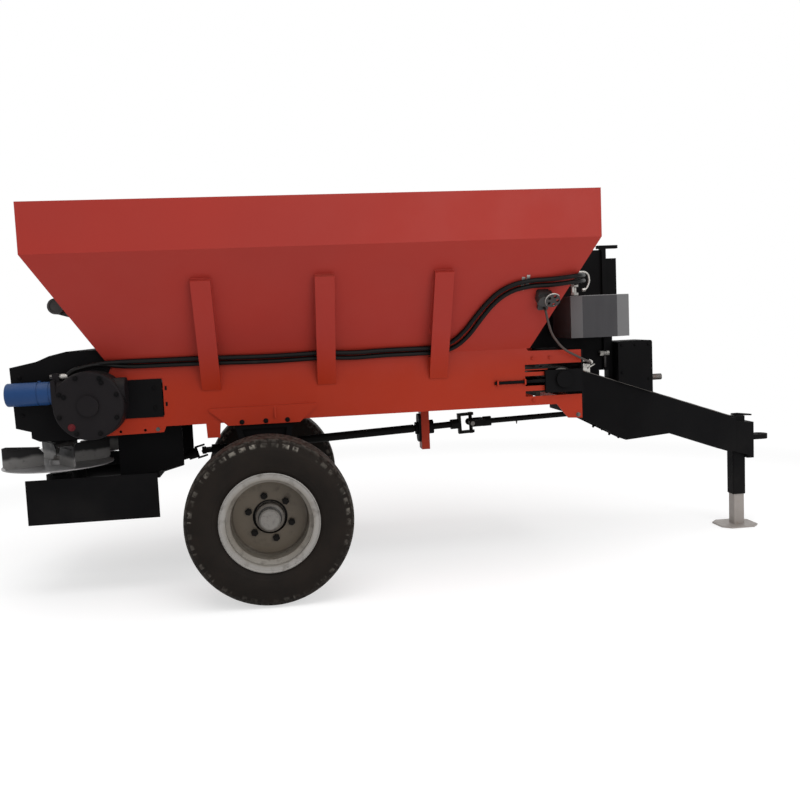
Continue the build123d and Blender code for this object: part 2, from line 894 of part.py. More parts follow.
def joint_axes(centre, toward, pin):
    """Origin, direction of the sleeve and direction of the ears at a joint."""
    origin = Vector(along(centre[0]), 0, centre[1])
    away = (Vector(along(toward[0]), 0, toward[1]) - origin).normalized()
    across = Vector(0, 1, 0) if pin == "level" else away.cross(Vector(0, 1, 0))
    return origin, away, across


def fork(centre, toward, pin, scale=1.0):
    """Fork at a joint's centre, its sleeve toward a point; pin is the ears' direction."""
    origin, away, across = joint_axes(centre, toward, pin)
    frame = Plane(origin=origin, x_dir=away, z_dir=across)
    with BuildSketch(frame) as ears:
        Circle(ear_radius * scale)
        with Locations((36 * scale, 0)):
            Rectangle(72 * scale, 2 * ear_radius * scale)
    extrude(ears.sketch, amount=ear_outer * scale, both=True)
    with BuildSketch(frame) as mouth:
        with Locations((14 * scale, 0)):
            Rectangle(84 * scale, 3 * ear_radius * scale)
    extrude(mouth.sketch, amount=ear_gap * scale, both=True, mode=Mode.SUBTRACT)
    with BuildSketch(Plane(origin=origin + away * 70 * scale, z_dir=away)) as sleeve:
        Circle(27)
    extrude(sleeve.sketch, amount=44)


def cross_pin(centre, toward, pin, reach, radius):
    """Pin of the cross along the ears' direction, as long as reach each way."""
    origin, away, across = joint_axes(centre, toward, pin)
    with BuildSketch(Plane(origin=origin, x_dir=away, z_dir=across)) as face:
        Circle(radius)
    extrude(face.sketch, amount=reach, both=True)


sleeve_start = 80
rear_start = 60
with BuildPart() as main_shaft:
    fork(rear_joint, front_joint, "level", rear_scale)
    cross_pin(rear_joint, front_joint, "level", ear_gap * rear_scale + 2, 8)
    cross_pin(rear_joint, front_joint, "upright", 19, 11)
    fork(front_joint, rear_joint, "upright")
    cross_pin(front_joint, rear_joint, "upright", ear_gap + 2, 10)
    cross_pin(front_joint, rear_joint, "level", ear_gap - 6, 10)
    centre_rod(beyond(front_joint, rear_joint, -rear_start), on_main(bracket_x - 60), tube_radius + 3)
    centre_rod(on_main(bracket_x - 61), beyond(rear_joint, front_joint, -sleeve_start), shaft_radius)

with BuildPart() as front_shaft:
    fork(front_joint, front_shaft_end, "level")
    centre_rod(beyond(front_shaft_end, front_joint, -sleeve_start), beyond(front_joint, front_shaft_end, -24), 15)
    centre_rod(
        beyond(front_joint, front_shaft_end, -25), beyond(front_joint, front_shaft_end, 10), shaft_radius
    )

with BuildPart() as rear_shaft:
    fork(rear_joint, input_end, "upright", rear_scale)
    centre_rod(beyond(input_end, rear_joint, -rear_start), beyond(rear_joint, input_end, 50), shaft_radius)

# ---- front panel, tank and valve ----------------------------------------
panel_half = 4
post_top = 1622
post_front = 1912
panel_top = 1568
panel_low = 1086
foot_top = 1345
window = (1866, 1912)  # opening over the beam between the panel and its foot
window_top = 945
with BuildPart() as front_panel:
    plate(
        [
            (front_slope(panel_low) + 1, panel_low),
            (front_slope(post_top - 6) + 1, post_top - 6),
            (post_front, post_top - 6),
            (post_front, panel_top),
            (1978, panel_top),
            (1978, foot_top),
            (case_rear, foot_top),
            (case_rear, bar_top(case_rear)),
            (window[1], bar_top(window[1])),
            (window[1], window_top),
            (window[0], window_top),
            (window[0], bar_top(window[0])),
            (bar_rear, bar_top(bar_rear)),
            (bar_rear, panel_low),
        ],
        (-panel_half, panel_half),
    )
    block((post_rear, post_front), (-25, 25), (window_top, post_top))
    plate(
        [
            (window[1], bar_top(window[1])),
            (case_rear, bar_top(case_rear)),
            (case_rear, foot_top),
            (window[1], foot_top),
        ],
        (-25, 25),
    )
    block((post_rear - 20, 1985), (-14, 14), (post_top, post_top + 18))
    block((bar_rear, bar_rear + 8), (-60, 60), (upper_arm[0], panel_low))

tank_near = -350
tank_low = 1140
tank_high = 1360
tank_rear = 1603
tank_front = 1921
with BuildPart() as oil_tank:
    with BuildSketch(Plane.XY.offset(tank_low)):
        Polygon(
            (along(tank_rear), -panel_half),
            (along(tank_rear), tank_near + 34),
            (along(tank_rear + 52), tank_near),
            (along(tank_front - 78), tank_near),
            (along(tank_front), tank_near + 34),
            (along(tank_front), -25 - seat_gap),
            (along(post_rear - seat_gap), -25 - seat_gap),
            (along(post_rear - seat_gap), -panel_half),
            align=None,
        )
    extrude(amount=tank_high - tank_low)
    fillet(oil_tank.faces().sort_by(Axis.Z)[-1].edges().sort_by(Axis.Y)[0:3], 5)


def slope_point(distance, height, stand_off):
    """Point off the right-hand slope, with its stand-off square to the sheet."""
    length = math.hypot(rise, side_run)
    return (distance, -slope_half(height) - stand_off * rise / length, height - stand_off * side_run / length)


def on_slope(distance, height, stand_off=0.0):
    """Plane on the right-hand slope, its normal pointing out of the hopper."""
    x, y, z = slope_point(distance, height, stand_off)
    return Plane(origin=(along(x), y, z), x_dir=(1, 0, 0), z_dir=(0, -rise, -side_run))


with BuildPart() as flow_valve:
    with BuildSketch(on_slope(1356, 1366)):
        RectangleRounded(62, 62, 8)
    extrude(amount=44)
    with BuildSketch(on_slope(1350, 1366, 44)):
        Circle(27)
    extrude(amount=20)
    with BuildSketch(on_slope(1384, 1372)):
        RectangleRounded(34, 30, 6)
    extrude(amount=40)
    with BuildSketch(on_slope(1390, 1374, 30)):
        Circle(11)
    extrude(amount=34)
    with BuildSketch(on_slope(1366, 1318)):
        RectangleRounded(52, 40, 5)
    extrude(amount=18)
    with BuildSketch(on_slope(1390, 1374, 62)):
        Circle(36)
        with PolarLocations(23, 5):
            Circle(8, mode=Mode.SUBTRACT)
    extrude(amount=12)

# ---- hoses --------------------------------------------------------------


def hose(points, radius):
    """Round hose through points (x from the axle, y, z) on runs joined by wide arcs."""
    places = [Vector(along(x), y, z) for x, y, z in points]
    runs = [b - a for a, b in zip(places, places[1:])]
    bends = []
    for before, after in zip(runs, runs[1:]):
        half_turn = math.radians(before.get_angle(after)) / 2
        bends.append(0.45 * min(before.length, after.length) / math.tan(half_turn))
    with BuildLine():
        path = FilletPolyline(*places, radius=bends)
    with BuildSketch(Plane(origin=path @ 0, z_dir=path % 0)) as section:
        Circle(radius)
    sweep(section.sketch, path=path)
    print("bend radii", [round(bend) for bend in bends])


upper_hose_slope = (
    (1400, 1443), (1290, 1441), (1205, 1427), (1135, 1393), (1086, 1346), (1040, 1288), (990, 1214), (935, 1163),
    (868, 1136),
)
lower_hose_slope = (
    (1400, 1416), (1295, 1416), (1208, 1399), (1150, 1368), (1106, 1325), (1064, 1268), (1016, 1194), (958, 1139),
    (885, 1112),
)
port_offset = 12


def riser_at(hand):
    """Place (x from the axle, y) of the face on the tank's riser that takes a hose."""
    return (tank_rear + 45 + 16 * hand, -250 + 30 * hand)


with BuildPart() as side_hoses:
    for slope_route, knuckle, corner, level, hand in (
        (upper_hose_slope, (-half_trough - 32, trough_top + 28), -725, 1452, 1),
        (lower_hose_slope, (-half_trough - 18, trough_top + 3), -710, 1426, -1),
    ):
        on_sheet = [slope_point(x, z, hose_radius + 2) for x, z in slope_route]
        y, z = knuckle
        riser_x, riser_y = riser_at(hand)
        from_tank = [
            (riser_x, riser_y, level),
            (riser_x, riser_y - 60, level),
            (tank_rear - 2, -440, level + 3),
            (1579, -611, level),
            (1508, corner, level - 5),
        ]
        sagging = [(584, y - 2, z - 2), (440, y - 3, z - 8), (306, y - 2, z + 1), (30, y - 3, z - 6), (-250, y - 1, z + 1)]
        to_port = [
            (-640, y - 3, z + 2),
            (-770, -half_trough - 56, trough_top + 27),
            (-868, worm_y + hand * port_offset, port_z + 26),
            (port_face + 30, worm_y + hand * port_offset, port_z),
            (port_face + 0.3, worm_y + hand * port_offset, port_z),
        ]
        hose(from_tank + on_sheet + sagging + to_port, hose_radius)

pipe_radius = 6
coupler_x = (1728, 1776)
with BuildPart() as supply_pipe:
    hose(
        [
            slope_point(1372, 1312, 18.3),
            slope_point(1372, 1312, 46),
            (1390, -600, 1236),
            (1424, -548, 1170),
            (1496, -496, 1092),
            (1600, -478, 1040),
            (1668, -420, 1014),
            (1706, -300, 1004),
            (coupler_x[0], -200, 1000),
            (coupler_x[0], -128.3, 1000),
        ],
        pipe_radius,
    )

with BuildPart() as hose_couplers:
    ends = (coupler_x[0] - 14, coupler_x[1] + 14)
    plate(
        [(ends[0], bar_top(ends[0])), (ends[1], bar_top(ends[1])), (ends[1], 1012), (ends[0], 1012)],
        (-64, -56),
    )
    for hand, level in ((1, 1452), (-1, 1426)):
        riser_x, riser_y = riser_at(hand)
        block((riser_x - 13, riser_x + 13), (riser_y, riser_y + 26), (level - 16, level + 14))
        rod((riser_x, riser_y + 13, tank_high), (riser_x, riser_y + 13, level - 15), 9)
    for place in coupler_x:
        rod((place, -56, 1000), (place, -110, 1000), 13)
        rod((place, -110, 1000), (place, -128, 1000), 9)

with BuildPart() as hose_clamps:
    for place, height in ((1252, 1421), (1275, 1429)):
        with BuildSketch(on_slope(place, height)):
            Rectangle(16, 74)
        extrude(amount=2)

# ---- wheels -------------------------------------------------------------
wheel_centre = (0, tyre_radius)
middle = track / 2
hub_face = rim_width / 2 - disc_recess  # outer face of the wheel disc from the rim's middle
disc_plate = 8
centre_bore = 80.5
seat = bead_radius


def wheel_plane():
    """Plane through the axle, radius along X and place across the machine along Y."""
    return Plane(origin=(along(0), 0, tyre_radius), x_dir=(1, 0, 0), z_dir=(0, 0, 1))


def spin_about_axle(face):
    revolve(face.sketch, axis=Axis((along(0), 0, tyre_radius), (0, 1, 0)))


def tyre_shape(side):
    """Tyre with a round sidewall and a crowned tread, hollow inside."""
    centre = side * middle
    half = tyre_width / 2

    def at(radius, offset):
        return (radius, centre + offset)

    with BuildSketch(wheel_plane()) as face:
        with BuildLine():
            ThreePointArc(at(382, -99), at(tyre_radius, 0), at(382, 99))
            for hand in (-1, 1):
                ThreePointArc(at(382, 99 * hand), at(372, 113 * hand), at(352, 121 * hand))
                ThreePointArc(at(352, 121 * hand), at(298, half * hand), at(240, 111 * hand))
                Line(at(240, 111 * hand), at(229, 104.7 * hand))
                Line(at(229, 104.7 * hand), at(seat + seat_gap, 104.5 * hand))
                Line(at(seat + seat_gap, 104.5 * hand), at(seat + seat_gap, 84 * hand))
                Line(at(seat + seat_gap, 84 * hand), at(236, 92 * hand))
                ThreePointArc(at(236, 92 * hand), at(300, 114 * hand), at(350, 96 * hand))
            ThreePointArc(at(350, -96), at(368, 0), at(350, 96))
        make_face()
    spin_about_axle(face)


rim_outer = (
    (229, 112), (226, 105), (203, 104.8), (203, 74), (184, 58), (184, -36), (203, -58), (203, -104.8),
    (226, -105), (229, -112),
)


def rim_shape(side):
    """Well-base rim with its pressed disc, centre bore and stud holes."""
    centre = side * middle
    outline = [(radius, centre + side * offset) for radius, offset in rim_outer]
    back = [(225, -115), (221, -110), (198, -109.8), (198, -60), (179, -38), (179, 60), (198, 76), (198, 109.8)]
    back += [(221, 110), (225, 115)]
    outline += [(radius, centre + side * offset) for radius, offset in back]
    with BuildSketch(wheel_plane()) as face:
        Polygon(*outline, align=None)
    spin_about_axle(face)
    disc = [
        (centre_bore, hub_face),
        (172, hub_face),
        (180, hub_face + 10),
        (180, hub_face + 1),
        (176, hub_face - disc_plate),
        (centre_bore, hub_face - disc_plate),
    ]
    with BuildSketch(wheel_plane()) as face:
        Polygon(*[(radius, centre + side * offset) for radius, offset in disc], align=None)
    spin_about_axle(face)
    with BuildSketch(Plane.XZ.offset(-centre)) as holes:
        with Locations((along(0), tyre_radius)):
            with PolarLocations(stud_circle / 2, stud_count, start_angle=stud_turn):
                Circle(stud_radius + seat_gap)
    extrude(holes.sketch, amount=80, both=True, mode=Mode.SUBTRACT)


stud_turn = 103
stud_radius = 9
nut_radius = 17
stud_reach = 22
nut_height = 15
hub_radius = 60
hub_ring = 67
cap_radius = 49
cap_reach = 51


def hub_shape(side):
    """Hub barrel with its flange, grease cap, studs and nuts."""
    centre = side * middle
    inner = hub_inner - middle
    back = hub_face - disc_plate
    profile = [
        (0, hub_bore_end - middle),
        (0, cap_reach),
        (cap_radius - 7, cap_reach),
        (cap_radius, cap_reach - 7),
        (cap_radius, 2),
        (hub_ring - 3, -4),
        (hub_ring, -8),
        (hub_ring, back - 18),
        (centre_bore + 4, back - 18),
        (centre_bore + 4, back),
        (122, back),
        (122, back - 30),
        (hub_radius + 6, back - 40),
        (hub_radius, inner),
        (spindle_radius + running_gap, inner),
        (spindle_radius + running_gap, hub_bore_end - middle),
    ]
    with BuildSketch(wheel_plane()) as face:
        Polygon(*[(radius, centre + side * offset) for radius, offset in profile], align=None)
    spin_about_axle(face)
    outside = centre + side * hub_face
    with BuildSketch(Plane.XZ.offset(-(outside - side * (disc_plate + 2)))) as studs:
        with Locations((along(0), tyre_radius)):
            with PolarLocations(stud_circle / 2, stud_count, start_angle=stud_turn):
                Circle(stud_radius)
    extrude(studs.sketch, amount=-side * (disc_plate + 2 + stud_reach))
    with BuildSketch(Plane.XZ.offset(-outside)) as nuts:
        with Locations((along(0), tyre_radius)):
            with PolarLocations(stud_circle / 2, stud_count, start_angle=stud_turn):
                RegularPolygon(nut_radius, 6)
    extrude(nuts.sketch, amount=-side * nut_height)


with BuildPart() as tyre_right:
    tyre_shape(-1)

with BuildPart() as tyre_left:
    tyre_shape(1)

with BuildPart() as rim_right:
    rim_shape(-1)

with BuildPart() as rim_left:
    rim_shape(1)

with BuildPart() as hub_right:
    hub_shape(-1)

with BuildPart() as hub_left:
    hub_shape(1)

# ---- spinner discs ------------------------------------------------------
boss_radius = 48
vane_outline = (
    (66, 0), (246, 0), (disc_radius - 2, 14), (disc_radius - 2, 104), (238, vane_height), (90, 92), (64, 60),
)
vane_sheet = 5
vane_lip = 22
vane_sweep = 14


def spinner(side):
    """Disc with its boss and shaft, turning about +Z."""
    x, y = along(disc_x), side * disc_side
    with BuildSketch(Plane.XY.offset(disc_z)) as disc:
        with Locations((x, y)):
            Circle(disc_radius)
    extrude(disc.sketch, amount=disc_sheet)
    rod((disc_x, y, deck_z + 5), (disc_x, y, disc_z + 1), boss_radius)
    rod((disc_x, y, disc_z), (disc_x, y, disc_z + 26), boss_radius - 6)
    rod((disc_x, y, gear_low + 32), (disc_x, y, disc_z), shaft_radius)


def vanes(side):
    """Channel vanes that stand on a disc, set off its radial lines."""
    x, y = along(disc_x), side * disc_side
    for number in range(vane_count):
        spread = math.radians(360 / vane_count * number + 45 + 12 * side)
        out = Vector(math.cos(spread), math.sin(spread), 0)
        turn = Vector(-out.Y, out.X, 0) * side
        foot = Vector(x, y, disc_z + disc_sheet) + turn * vane_sweep
        face = Plane(origin=foot, x_dir=out, z_dir=out.cross(Vector(0, 0, 1)))
        with BuildSketch(face) as vane:
            Polygon(*vane_outline, align=None)
        extrude(vane.sketch, amount=vane_sheet / 2, both=True)
        with BuildSketch(Plane(origin=foot + Vector(0, 0, 88), x_dir=out, z_dir=(0, 0, 1))) as lip:
            with Locations((158, 0)):
                Rectangle(150, vane_lip)
        extrude(lip.sketch, amount=4)


with BuildPart() as spinner_right:
    spinner(-1)

with BuildPart() as spinner_left:
    spinner(1)

with BuildPart() as vanes_right:
    vanes(-1)

with BuildPart() as vanes_left:
    vanes(1)

# ---- written files ------------------------------------------------------
pieces = {
    "hopper_collar": hopper_collar,
    "hopper_side_right": hopper_side_right,
    "hopper_side_left": hopper_side_left,
    "hopper_front_slope": hopper_front_slope,
    "hopper_rear_slope": hopper_rear_slope,
    "hopper_ribs": hopper_ribs,
    "rear_tube": rear_tube,
    "chassis_side_right": chassis_side_right,
    "chassis_side_left": chassis_side_left,
    "chassis_crossmembers": chassis_crossmembers,
    "axle": axle,
    "axle_brackets": axle_brackets,
    "conveyor_belt": conveyor_belt,
    "conveyor_floor": conveyor_floor,
    "conveyor_rollers": conveyor_rollers,
    "takeup_bearings": takeup_bearings,
    "discharge_hood": discharge_hood,
    "conveyor_reducer": conveyor_reducer,
    "hydraulic_motor": hydraulic_motor,
    "spinner_hangers": spinner_hangers,
    "spinner_guard": spinner_guard,
    "spinner_gearbox": spinner_gearbox,
    "shaft_bracket": shaft_bracket,
    "shaft_bearing": shaft_bearing,
    "drawbar": drawbar,
    "tow_hitch": tow_hitch,
    "jack_tube": jack_tube,
    "jack_leg": jack_leg,
    "pto_gearbox": pto_gearbox,
    "pto_stub": pto_stub,
    "main_shaft": main_shaft,
    "front_shaft": front_shaft,
    "rear_shaft": rear_shaft,
    "front_panel": front_panel,
    "oil_tank": oil_tank,
    "flow_valve": flow_valve,
    "side_hoses": side_hoses,
    "supply_pipe": supply_pipe,
    "hose_couplers": hose_couplers,
    "hose_clamps": hose_clamps,
    "tyre_right": tyre_right,
    "tyre_left": tyre_left,
    "rim_right": rim_right,
    "rim_left": rim_left,
    "hub_right": hub_right,
    "hub_left": hub_left,
    "spinner_right": spinner_right,
    "spinner_left": spinner_left,
    "vanes_right": vanes_right,
    "vanes_left": vanes_left,
}
os.makedirs("parts", exist_ok=True)
for name, piece in pieces.items():
    piece.part.label = name
    export_step(piece.part, f"parts/{name}.step")
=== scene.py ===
import bpy
import json
import math
import numpy as np
from mathutils import Matrix


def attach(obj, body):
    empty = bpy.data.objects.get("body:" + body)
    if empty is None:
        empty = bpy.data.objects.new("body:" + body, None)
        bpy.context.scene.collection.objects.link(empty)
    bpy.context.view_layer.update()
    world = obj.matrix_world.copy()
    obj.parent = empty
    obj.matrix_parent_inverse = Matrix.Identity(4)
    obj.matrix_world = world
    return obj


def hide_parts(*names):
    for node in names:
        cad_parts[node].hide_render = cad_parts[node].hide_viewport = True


# a towed manure spreader with sloped hopper, floor belt and spinner discs
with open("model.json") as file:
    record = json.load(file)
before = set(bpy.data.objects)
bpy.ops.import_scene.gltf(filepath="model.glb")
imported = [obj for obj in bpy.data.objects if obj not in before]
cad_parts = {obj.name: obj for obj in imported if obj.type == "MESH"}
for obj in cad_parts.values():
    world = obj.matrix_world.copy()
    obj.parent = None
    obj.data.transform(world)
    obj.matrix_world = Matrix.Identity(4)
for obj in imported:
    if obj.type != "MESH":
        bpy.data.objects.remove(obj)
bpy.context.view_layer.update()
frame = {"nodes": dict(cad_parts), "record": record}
nodes = frame["nodes"]
print("stage: frame loaded", len(nodes))


def gridFaces(rows, columns, closeRows=False, closeColumns=False):
    # quads between neighbours of a rows x columns grid, wrapped round where asked
    i = np.arange(rows if closeRows else rows - 1)[:, None]
    j = np.arange(columns if closeColumns else columns - 1)[None, :]
    a, b = i * columns + j, i * columns + (j + 1) % columns
    c, d = ((i + 1) % rows) * columns + (j + 1) % columns, ((i + 1) % rows) * columns + j
    return np.stack([a, b, c, d], -1).reshape(-1, 4)


def newPiece(name, points, faces, material, body, smooth=True):
    # mesh object from an (n, 3) array and an (m, 3 or 4) array of corner numbers
    mesh = bpy.data.meshes.new(name)
    points, faces = np.asarray(points, float), np.asarray(faces, int)
    mesh.vertices.add(len(points))
    mesh.vertices.foreach_set("co", points.ravel())
    mesh.loops.add(faces.size)
    mesh.loops.foreach_set("vertex_index", faces.ravel())
    mesh.polygons.add(len(faces))
    mesh.polygons.foreach_set("loop_start", np.arange(len(faces)) * faces.shape[1])
    mesh.polygons.foreach_set("use_smooth", np.full(len(faces), smooth))
    mesh.update(calc_edges=True)
    mesh.validate()
    piece = bpy.data.objects.new(name, mesh)
    bpy.context.scene.collection.objects.link(piece)
    mesh.materials.append(material)
    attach(piece, body)
    return piece


def joined(parts):
    # one (points, faces) pair from several, corner numbers moved up in turn
    starts = np.cumsum([0] + [len(points) for points, _ in parts[:-1]])
    return (
        np.concatenate([points for points, _ in parts]),
        np.concatenate([faces + start for (_, faces), start in zip(parts, starts)]),
    )


def frameAlong(axis):
    # two unit vectors square to axis and to each other
    axis = np.asarray(axis, float) / np.linalg.norm(axis)
    helper = np.array([0, 0, 1.0]) if abs(axis[2]) < 0.9 else np.array([1.0, 0, 0])
    first = np.cross(helper, axis)
    first /= np.linalg.norm(first)
    return axis, first, np.cross(axis, first)


def turnedShape(profile, centre, axis, sides=32):
    # point = centre + along * axis + radius * (cos t * first + sin t * second)
    # a profile that starts and ends at radius 0 is closed
    axis, first, second = frameAlong(axis)
    along, radius = np.array(profile, float).T
    t = np.linspace(0, 2 * np.pi, sides, endpoint=False)
    ring = np.cos(t)[:, None] * first + np.sin(t)[:, None] * second
    points = np.asarray(centre) + along[:, None, None] * axis + radius[:, None, None] * ring[None]
    return points.reshape(-1, 3), gridFaces(len(along), sides, closeColumns=True)[:, ::-1]


def tubeAlong(path, radius, sides=12, capped=True):
    # point = path(s) + radius(s) * (cos t * n(s) + sin t * b(s))
    # n is carried from point to point, less its part along the new direction, so the tube doesn't twist
    path = np.asarray(path, float)
    tangent = np.gradient(path, axis=0)
    tangent /= np.linalg.norm(tangent, axis=1)[:, None]
    _, start, _ = frameAlong(tangent[0])
    normals = [start]
    for direction in tangent[1:]:
        carried = normals[-1] - direction * (normals[-1] @ direction)
        normals.append(carried / np.linalg.norm(carried))
    normals = np.array(normals)
    binormals = np.cross(tangent, normals)
    t = np.linspace(0, 2 * np.pi, sides, endpoint=False)
    radius = np.broadcast_to(np.asarray(radius, float), (len(path),))
    if capped:
        path = np.concatenate([path[:1], path, path[-1:]])
        normals = np.concatenate([normals[:1], normals, normals[-1:]])
        binormals = np.concatenate([binormals[:1], binormals, binormals[-1:]])
        radius = np.concatenate([[1e-5], radius, [1e-5]])
    ring = np.cos(t)[None, :, None] * normals[:, None] + np.sin(t)[None, :, None] * binormals[:, None]
    points = path[:, None] + radius[:, None, None] * ring
    return points.reshape(-1, 3), gridFaces(len(path), sides, closeColumns=True)[:, ::-1]


def roundedPath(corners, bend, steps=8):
    # straight runs joined at each corner by (1 - t)^2 a + 2 t (1 - t) corner + t^2 b
    # a and b lie bend metres before and after the corner, or just under half a run if that is shorter
    corners = np.asarray(corners, float)
    before, after = corners[:-2], corners[2:]
    middle = corners[1:-1]
    inLength = np.linalg.norm(middle - before, axis=1)[:, None]
    outLength = np.linalg.norm(after - middle, axis=1)[:, None]
    longest = 0.48
    a = middle - (middle - before) / inLength * np.minimum(bend, inLength * longest)
    b = middle + (after - middle) / outLength * np.minimum(bend, outLength * longest)
    t = np.linspace(0, 1, steps)[None, :, None]
    arcs = (1 - t) ** 2 * a[:, None] + 2 * t * (1 - t) * middle[:, None] + t**2 * b[:, None]
    return np.concatenate([corners[:1], arcs.reshape(-1, 3), corners[-1:]])


# a bolt's proportions: radii and heights as shares of the head's radius, the crown's start as one of its height
boltShares = {
    "washer": 1.35, "washerHeight": 0.22, "crownStart": 0.85, "crown": 0.86, "shank": 0.55, "threadHeight": 0.3,
    "threadTip": 0.4, "tipInset": 0.12, "acrossCorners": 1.1, "sides": 24,
}


def boltShape(place, axis, size, height):
    # hexagon head with a chamfered crown, a washer under it and the thread's end on top
    # point = place + along * axis + reach * (cos t, sin t), and on the head
    # reach = radius * acrossCorners * cos 30 / cos((t mod 60) - 30), in degrees
    q = boltShares
    shank = q["shank"]
    profile = [
        (0, 0), (0, size * q["washer"]), (size * q["washerHeight"], size * q["washer"]),
        (size * q["washerHeight"], size), (height * q["crownStart"], size), (height, size * q["crown"]),
        (height, size * shank), (height + size * q["threadHeight"], size * shank),
        (height + size * q["threadTip"], size * (shank - q["tipInset"])), (height + size * q["threadTip"], 0),
    ]
    axis, first, second = frameAlong(axis)
    along, radius = np.array(profile, float).T
    t = np.linspace(0, 2 * np.pi, q["sides"], endpoint=False)
    hexagon = np.cos(np.pi / 6) / np.cos(np.mod(t, np.pi / 3) - np.pi / 6)
    onHead = np.zeros(len(along), bool)
    onHead[3:5] = True
    reach = np.where(onHead[:, None], radius[:, None] * hexagon[None] * q["acrossCorners"], radius[:, None])
    ring = np.cos(t)[:, None] * first + np.sin(t)[:, None] * second
    points = np.asarray(place) + along[:, None, None] * axis + reach[:, :, None] * ring[None]
    return points.reshape(-1, 3), gridFaces(len(along), q["sides"], closeColumns=True)[:, ::-1]


def boxShape(low, high):
    # plain box: each corner takes its three numbers from the low or the high end
    ends = np.array([low, high], float)
    pick = (0, 1)
    corners = np.array([[ends[i, 0], ends[j, 1], ends[k, 2]] for i in pick for j in pick for k in pick])
    faces = np.array([[0, 1, 3, 2], [4, 6, 7, 5], [0, 4, 5, 1], [2, 3, 7, 6], [0, 2, 6, 4], [1, 5, 7, 3]])
    return corners, faces


class Shader:
    # small node builder: every call returns the socket it made

    def __init__(self, name):
        self.material = bpy.data.materials.new(name)
        self.material.use_nodes = True
        self.tree = self.material.node_tree
        self.tree.nodes.clear()
        self.output = self.tree.nodes.new("ShaderNodeOutputMaterial")
        self.surface = self.tree.nodes.new("ShaderNodeBsdfPrincipled")
        self.tree.links.new(self.surface.outputs[0], self.output.inputs[0])
        self.coordinates = self.tree.nodes.new("ShaderNodeTexCoord").outputs["Object"]

    def link(self, source, target):
        self.tree.links.new(source, target)

    def put(self, socket, value):
        if isinstance(value, bpy.types.NodeSocket):
            self.link(value, socket)
        else:
            socket.default_value = value

    def noise(self, scale, detail=3.0, stretch=(1, 1, 1), rough=0.5):
        mapping = self.tree.nodes.new("ShaderNodeMapping")
        mapping.inputs["Scale"].default_value = stretch
        self.link(self.coordinates, mapping.inputs[0])
        node = self.tree.nodes.new("ShaderNodeTexNoise")
        node.inputs["Scale"].default_value = scale
        node.inputs["Detail"].default_value = detail
        node.inputs["Roughness"].default_value = rough
        self.link(mapping.outputs[0], node.inputs["Vector"])
        return node.outputs["Fac"]

    def axis(self, name):
        node = self.tree.nodes.new("ShaderNodeSeparateXYZ")
        self.link(self.coordinates, node.inputs[0])
        return node.outputs[name]

    def normalPart(self, name):
        # one part of the face's unit normal
        geometry = self.tree.nodes.new("ShaderNodeNewGeometry")
        node = self.tree.nodes.new("ShaderNodeSeparateXYZ")
        self.link(geometry.outputs["Normal"], node.inputs[0])
        return node.outputs[name]

    def upward(self):
        # how far the face looks up, 0 to 1
        return self.ramp(self.normalPart("Z"), 0.2, 1.0)

    def facing(self, name):
        # 1 where the face is square to the named axis, either way, 0 on slanted faces
        return self.ramp(self.math("ABSOLUTE", self.normalPart(name), 0.0), 0.9, 0.99)

    def fromLine(self, x, z):
        # distance from a line that runs across the machine through x and z
        far = self.math("POWER", self.math("SUBTRACT", self.axis("X"), x), 2.0)
        high = self.math("POWER", self.math("SUBTRACT", self.axis("Z"), z), 2.0)
        return self.math("SQRT", self.math("ADD", far, high), 0.0)

    def attribute(self, name):
        node = self.tree.nodes.new("ShaderNodeAttribute")
        node.attribute_name = name
        return node.outputs["Fac"]

    def ramp(self, value, low, high, outLow=0.0, outHigh=1.0):
        # smooth step from outLow at low to outHigh at high; low may be the larger of the two
        node = self.tree.nodes.new("ShaderNodeMapRange")
        node.interpolation_type = "SMOOTHSTEP"
        node.inputs["From Min"].default_value = low
        node.inputs["From Max"].default_value = high
        node.inputs["To Min"].default_value = outLow
        node.inputs["To Max"].default_value = outHigh
        self.link(value, node.inputs["Value"])
        return node.outputs[0]

    def math(self, kind, a, b):
        node = self.tree.nodes.new("ShaderNodeMath")
        node.operation = kind
        self.put(node.inputs[0], a)
        self.put(node.inputs[1], b)
        return node.outputs[0]

    def mix(self, amount, first, second):
        node = self.tree.nodes.new("ShaderNodeMix")
        node.data_type = "RGBA"
        self.put(node.inputs["Factor"], amount)
        for socket, value in ((node.inputs[6], first), (node.inputs[7], second)):
            self.put(socket, value if isinstance(value, bpy.types.NodeSocket) else (*value, 1))
        return node.outputs[2]

    def bump(self, height, strength, distance, under=None):
        node = self.tree.nodes.new("ShaderNodeBump")
        node.inputs["Strength"].default_value = strength
        node.inputs["Distance"].default_value = distance
        self.link(height, node.inputs["Height"])
        if under:
            self.link(under, node.inputs["Normal"])
        return node.outputs[0]

    def set(self, **values):
        names = {
            "color": "Base Color", "metallic": "Metallic", "roughness": "Roughness", "normal": "Normal",
            "specular": "Specular IOR Level",
        }
        for key, value in values.items():
            self.put(self.surface.inputs[names[key]], (*value, 1) if isinstance(value, tuple) else value)
        return self.material


# sprayed paint: noise scales, the heights where the lower paint takes over, and how gloss spreads
paintLook = {
    "broadScale": 1.1, "streakScale": 5.0, "cloudScale": 6.0, "glossScale": 7, "peelScale": 240, "dentScale": 2.1,
    "lowFrom": 1.25, "lowTo": 0.95, "ground": 0.1, "lowShare": 0.7, "everywhere": 0.08, "duller": 0.3,
}


